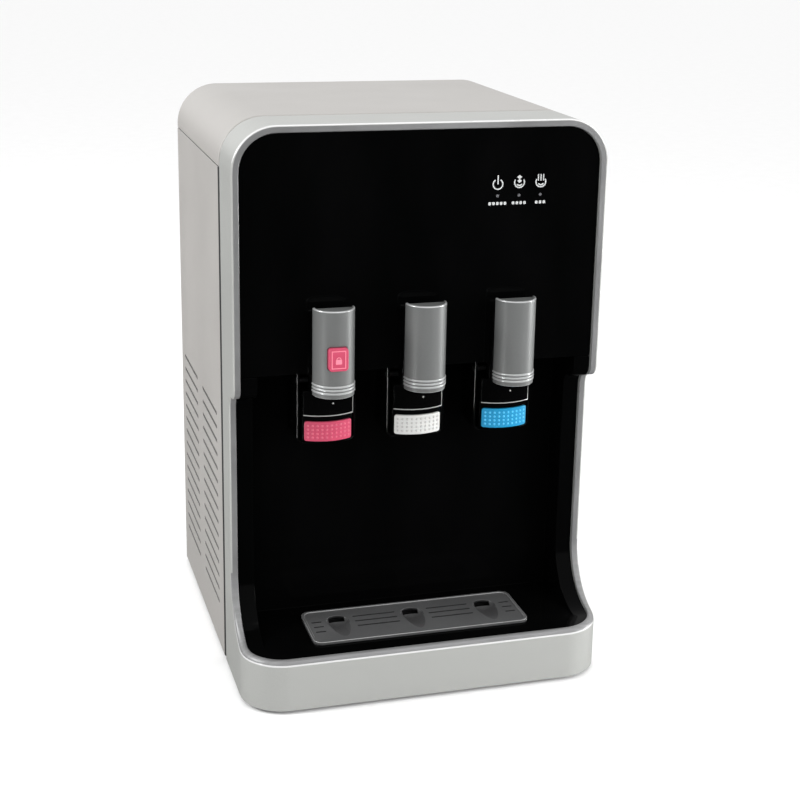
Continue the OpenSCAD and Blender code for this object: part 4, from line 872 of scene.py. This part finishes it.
def prism(bm, outline, near_y, far_y):
    """A flat shape that faces the user, given by an outline in x and z, between two depths"""
    face = bm.faces.new([bm.verts.new((x, near_y, z)) for x, z in outline])
    made = bmesh.ops.extrude_face_region(bm, geom=[face])["geom"]
    back = [v for v in made if isinstance(v, bmesh.types.BMVert)]
    bmesh.ops.translate(bm, verts=back, vec=(0, far_y - near_y, 0))


def arc(x, z, radius, start, end, steps=ARC_STEPS):
    """Points on an arc, with angles in degrees to the right of straight up"""
    angles = [radians(start + (end - start) * i / steps) for i in range(steps + 1)]
    return [(x + radius * sin(a), z + radius * cos(a)) for a in angles]


def band(x, z, radius, width, start, end):
    """Outline of a bent stroke"""
    outer = arc(x, z, radius + width / 2, start, end)
    inner = arc(x, z, radius - width / 2, start, end)
    return outer + inner[::-1]


def bar(x0, z0, x1, z1):
    """Outline of a straight stroke between two corners"""
    return [(x0, z0), (x1, z0), (x1, z1), (x0, z1)]


def diamond(x, z, half_w, half_h):
    """Outline of an ice cube that stands on its corner"""
    return [(x - half_w, z), (x, z - half_h), (x + half_w, z), (x, z + half_h)]


def rounded(x0, z0, x1, z1, r):
    """Outline of a rectangle with round corners"""
    centres = ((x1 - r, z1 - r), (x1 - r, z0 + r), (x0 + r, z0 + r), (x0 + r, z1 - r))
    points = []
    for turn, (x, z) in enumerate(centres):
        points += arc(x, z, r, 90 * turn, 90 * (turn + 1), CORNER_ARC_STEPS)
    return points


def power_icon():
    """Open ring with a bar in its gap"""
    ring = band(0, -RING_DROP, RING_R, STROKE, RING_GAP, 360 - RING_GAP)
    return [ring, bar(-STROKE / 2, -RING_DROP, STROKE / 2, RING_DROP + RING_R - BAR_SHORT)]


def cup_icon():
    """Round cup with water in it"""
    cup = band(0, -CUP_DROP, CUP_R, STROKE, CUP_OPEN, 360 - CUP_OPEN)
    surface = [(-WATER_HALF, -WATER_DROP), (0, -WATER_DIP), (WATER_HALF, -WATER_DROP)]
    bottom = arc(0, -CUP_DROP, CUP_R - WATER_GAP, *WATER_ARC, WATER_STEPS)
    return [cup, surface + bottom]


def cold_icon():
    """Cup with two ice cubes"""
    return cup_icon() + [diamond(0, *cube) for cube in CUBES]


def hot_icon():
    """Cup with three plumes of steam"""
    return cup_icon() + [bar(x - PLUME_HALF, PLUME_LOW, x + PLUME_HALF, PLUME_HIGH) for x in PLUME_XS]


def tick_row(count):
    """Row of plain ticks"""
    first = -(count - 1) / 2 * TICK_PITCH
    centres = [first + i * TICK_PITCH for i in range(count)]
    return [
        rounded(x - TICK_W / 2, -TICK_H / 2, x + TICK_W / 2, TICK_H / 2, TICK_CORNER) for x in centres
    ]


def make_panel_prints():
    """Symbols above the indicator lenses and plain ticks below them"""
    low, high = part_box("indicator_lenses")
    lens_z = (low.z + high.z) / 2
    lens_r = (high.z - low.z) / 2
    lens_xs = [low.x + lens_r, (low.x + high.x) / 2, high.x - lens_r]
    near_y = low.y - PRINT_T * MM
    symbols = (power_icon(), cold_icon(), hot_icon())
    bm = bmesh.new()
    for x, symbol, count in zip(lens_xs, symbols, TICK_COUNTS):
        for rise, shapes in ((ICON_RISE, symbol), (-TICK_DROP, tick_row(count))):
            for shape in shapes:
                placed = [(x + u * MM, lens_z + (rise + w) * MM) for u, w in shape]
                prism(bm, placed, near_y, low.y + PRINT_T * MM)
    return detail_on("front_panel", "panel_prints", bm, panel_print)


def make_button_relief():
    """Raised frame and padlock on the child-lock button"""
    low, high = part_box("child_lock_button")
    inset = BUTTON_FLANGE + RELIEF_INSET
    half_w = (high.x - low.x) / 2 / MM - inset
    half_h = (high.z - low.z) / 2 / MM - inset
    inner_w = half_w - RELIEF_STROKE
    inner_h = half_h - RELIEF_STROKE
    shapes = [
        bar(-half_w, inner_h, half_w, half_h),
        bar(-half_w, -half_h, half_w, -inner_h),
        bar(-half_w, -inner_h, -inner_w, inner_h),
        bar(inner_w, -inner_h, half_w, inner_h),
        rounded(-LOCK_HALF, -LOCK_DROP, LOCK_HALF, LOCK_TOP, LOCK_CORNER),
        band(0, LOCK_TOP, SHACKLE_R, RELIEF_STROKE, -90, 90),
    ]
    middle = (low + high) / 2
    bm = bmesh.new()
    for shape in shapes:
        placed = [(middle.x + u * MM, middle.z + w * MM) for u, w in shape]
        prism(bm, placed, low.y - RELIEF_T * MM, low.y + RELIEF_T * MM)
    return detail_on("child_lock_button", "child_lock_relief", bm, pale_pink)


make_panel_prints()
make_button_relief()


# Stage, light and camera

# Camera: place, angles in radians, lens, and the shift that the photograph's framing needs
CAMERA_AT = (-359.147, -1281.833, 639.647)
CAMERA_YAW = 0.284
CAMERA_PITCH = 0.2778
CAMERA_ROLL = 0.018
CAMERA_LENS = 70.396
CAMERA_RISE = -0.07
SENSOR_W = 36
# Floor, in metres, and its paper
FLOOR_HALF = 30
FLOOR_SQUARES = 8
PALE = (0.95, 0.95, 0.95)
PAPER_ROUGHNESS = 0.9
PAPER_GRAIN = 60
PAPER_DEPTH = 0.05
PAPER_SPREAD = 0.01
# Room: dark below the horizon and white from a low height above it
SKY_STRENGTH = 1.0
ROOM_DARK = (0.01, 0.01, 0.01)
ROOM_WHITE = (1, 1, 1)
WHITE_FROM = 0.06
# Soft lights, in metres, watts and degrees
LIGHTS = {
    "key_light": {"at": (-1.70, 0.00, 1.25), "towards": (0, 0, 0.25), "size": (0.5, 0.5), "power": 18},
    "corner_light": {"at": (-1.15, 0.05, 1.90), "towards": (0, 0, 0.40), "size": (0.3, 0.3), "power": 1.5},
    "top_light": {"at": (0.35, -0.55, 1.90), "towards": (0, 0, 0.20), "size": (0.2, 0.2), "power": 1.5},
    "front_fill": {
        "at": (1.10, -1.05, 0.55), "towards": (0, -0.10, 0.15), "size": (0.7, 0.7), "power": 12.5,
        "mirrored": False,
    },
    "left_strip": {
        "at": (-0.62, -0.34, 0.05), "towards": (0, -0.10, 0.25), "size": (0.03, 0.10), "power": 0.05,
        "spread": 60, "scattered": False,
    },
    "right_strip": {
        "at": (1.40, -0.30, 0.10), "towards": (0, -0.10, 0.25), "size": (0.10, 0.40), "power": 2.4,
        "spread": 90,
    },
}


def make_camera():
    """Camera at the photograph's angle"""
    data = bpy.data.cameras.new("photo_camera")
    data.sensor_width = SENSOR_W
    data.lens = CAMERA_LENS
    data.shift_y = CAMERA_RISE
    camera = bpy.data.objects.new("photo_camera", data)
    turn = Matrix.Rotation(-CAMERA_YAW, 4, "Z")
    tilt = Matrix.Rotation(pi / 2 - CAMERA_PITCH, 4, "X")
    roll = Matrix.Rotation(CAMERA_ROLL, 4, "Z")
    camera.matrix_world = Matrix.Translation(Vector(CAMERA_AT) * MM) @ turn @ tilt @ roll
    bpy.context.scene.collection.objects.link(camera)
    bpy.context.scene.camera = camera


def make_floor():
    """Wide pale floor under the object"""
    bm = bmesh.new()
    bmesh.ops.create_grid(bm, x_segments=FLOOR_SQUARES, y_segments=FLOOR_SQUARES, size=FLOOR_HALF)
    mesh = bpy.data.meshes.new("floor")
    bm.to_mesh(mesh)
    bm.free()
    paper = moulded_finish("floor_paper", PALE, PAPER_ROUGHNESS, PAPER_GRAIN, PAPER_DEPTH, PAPER_SPREAD)
    mesh.materials.append(paper)
    floor = bpy.data.objects.new("floor", mesh)
    floor.visible_glossy = False
    bpy.context.scene.collection.objects.link(floor)


def make_sky():
    """White room above the horizon and dark below it, behind it a plain pale backdrop"""
    world = bpy.data.worlds.new("studio")
    bpy.context.scene.world = world
    world.use_nodes = True
    nodes = world.node_tree.nodes
    links = world.node_tree.links
    place = nodes.new("ShaderNodeTexCoord")
    split = nodes.new("ShaderNodeSeparateXYZ")
    ramp = nodes.new("ShaderNodeValToRGB")
    ramp.color_ramp.elements[0].position = 0.0
    ramp.color_ramp.elements[0].color = (*ROOM_DARK, 1)
    ramp.color_ramp.elements[1].position = WHITE_FROM
    ramp.color_ramp.elements[1].color = (*ROOM_WHITE, 1)
    links.new(place.outputs["Generated"], split.inputs["Vector"])
    links.new(split.outputs["Z"], ramp.inputs["Fac"])
    links.new(ramp.outputs["Color"], nodes["Background"].inputs["Color"])
    nodes["Background"].inputs["Strength"].default_value = SKY_STRENGTH
    backdrop = nodes.new("ShaderNodeBackground")
    backdrop.inputs["Color"].default_value = (*PALE, 1)
    ray = nodes.new("ShaderNodeLightPath")
    either = nodes.new("ShaderNodeMixShader")
    links.new(ray.outputs["Is Camera Ray"], either.inputs[0])
    links.new(nodes["Background"].outputs["Background"], either.inputs[1])
    links.new(backdrop.outputs["Background"], either.inputs[2])
    links.new(either.outputs["Shader"], nodes["World Output"].inputs["Surface"])


def make_light(name, at, towards, size, power, spread=180, mirrored=True, scattered=True):
    """Rectangular soft light aimed at a point, which may be kept from glossy or from matt surfaces"""
    data = bpy.data.lights.new(name, "AREA")
    data.shape = "RECTANGLE"
    data.size, data.size_y = size
    data.energy = power
    data.spread = radians(spread)
    light = bpy.data.objects.new(name, data)
    aim = Vector(towards) - Vector(at)
    light.matrix_world = Matrix.Translation(at) @ aim.to_track_quat("-Z", "Y").to_matrix().to_4x4()
    light.visible_camera = False
    light.visible_glossy = mirrored
    light.visible_diffuse = scattered
    bpy.context.scene.collection.objects.link(light)


make_camera()
make_floor()
make_sky()
for name, settings in LIGHTS.items():
    make_light(name, **settings)
bpy.context.scene.view_settings.view_transform = "Standard"
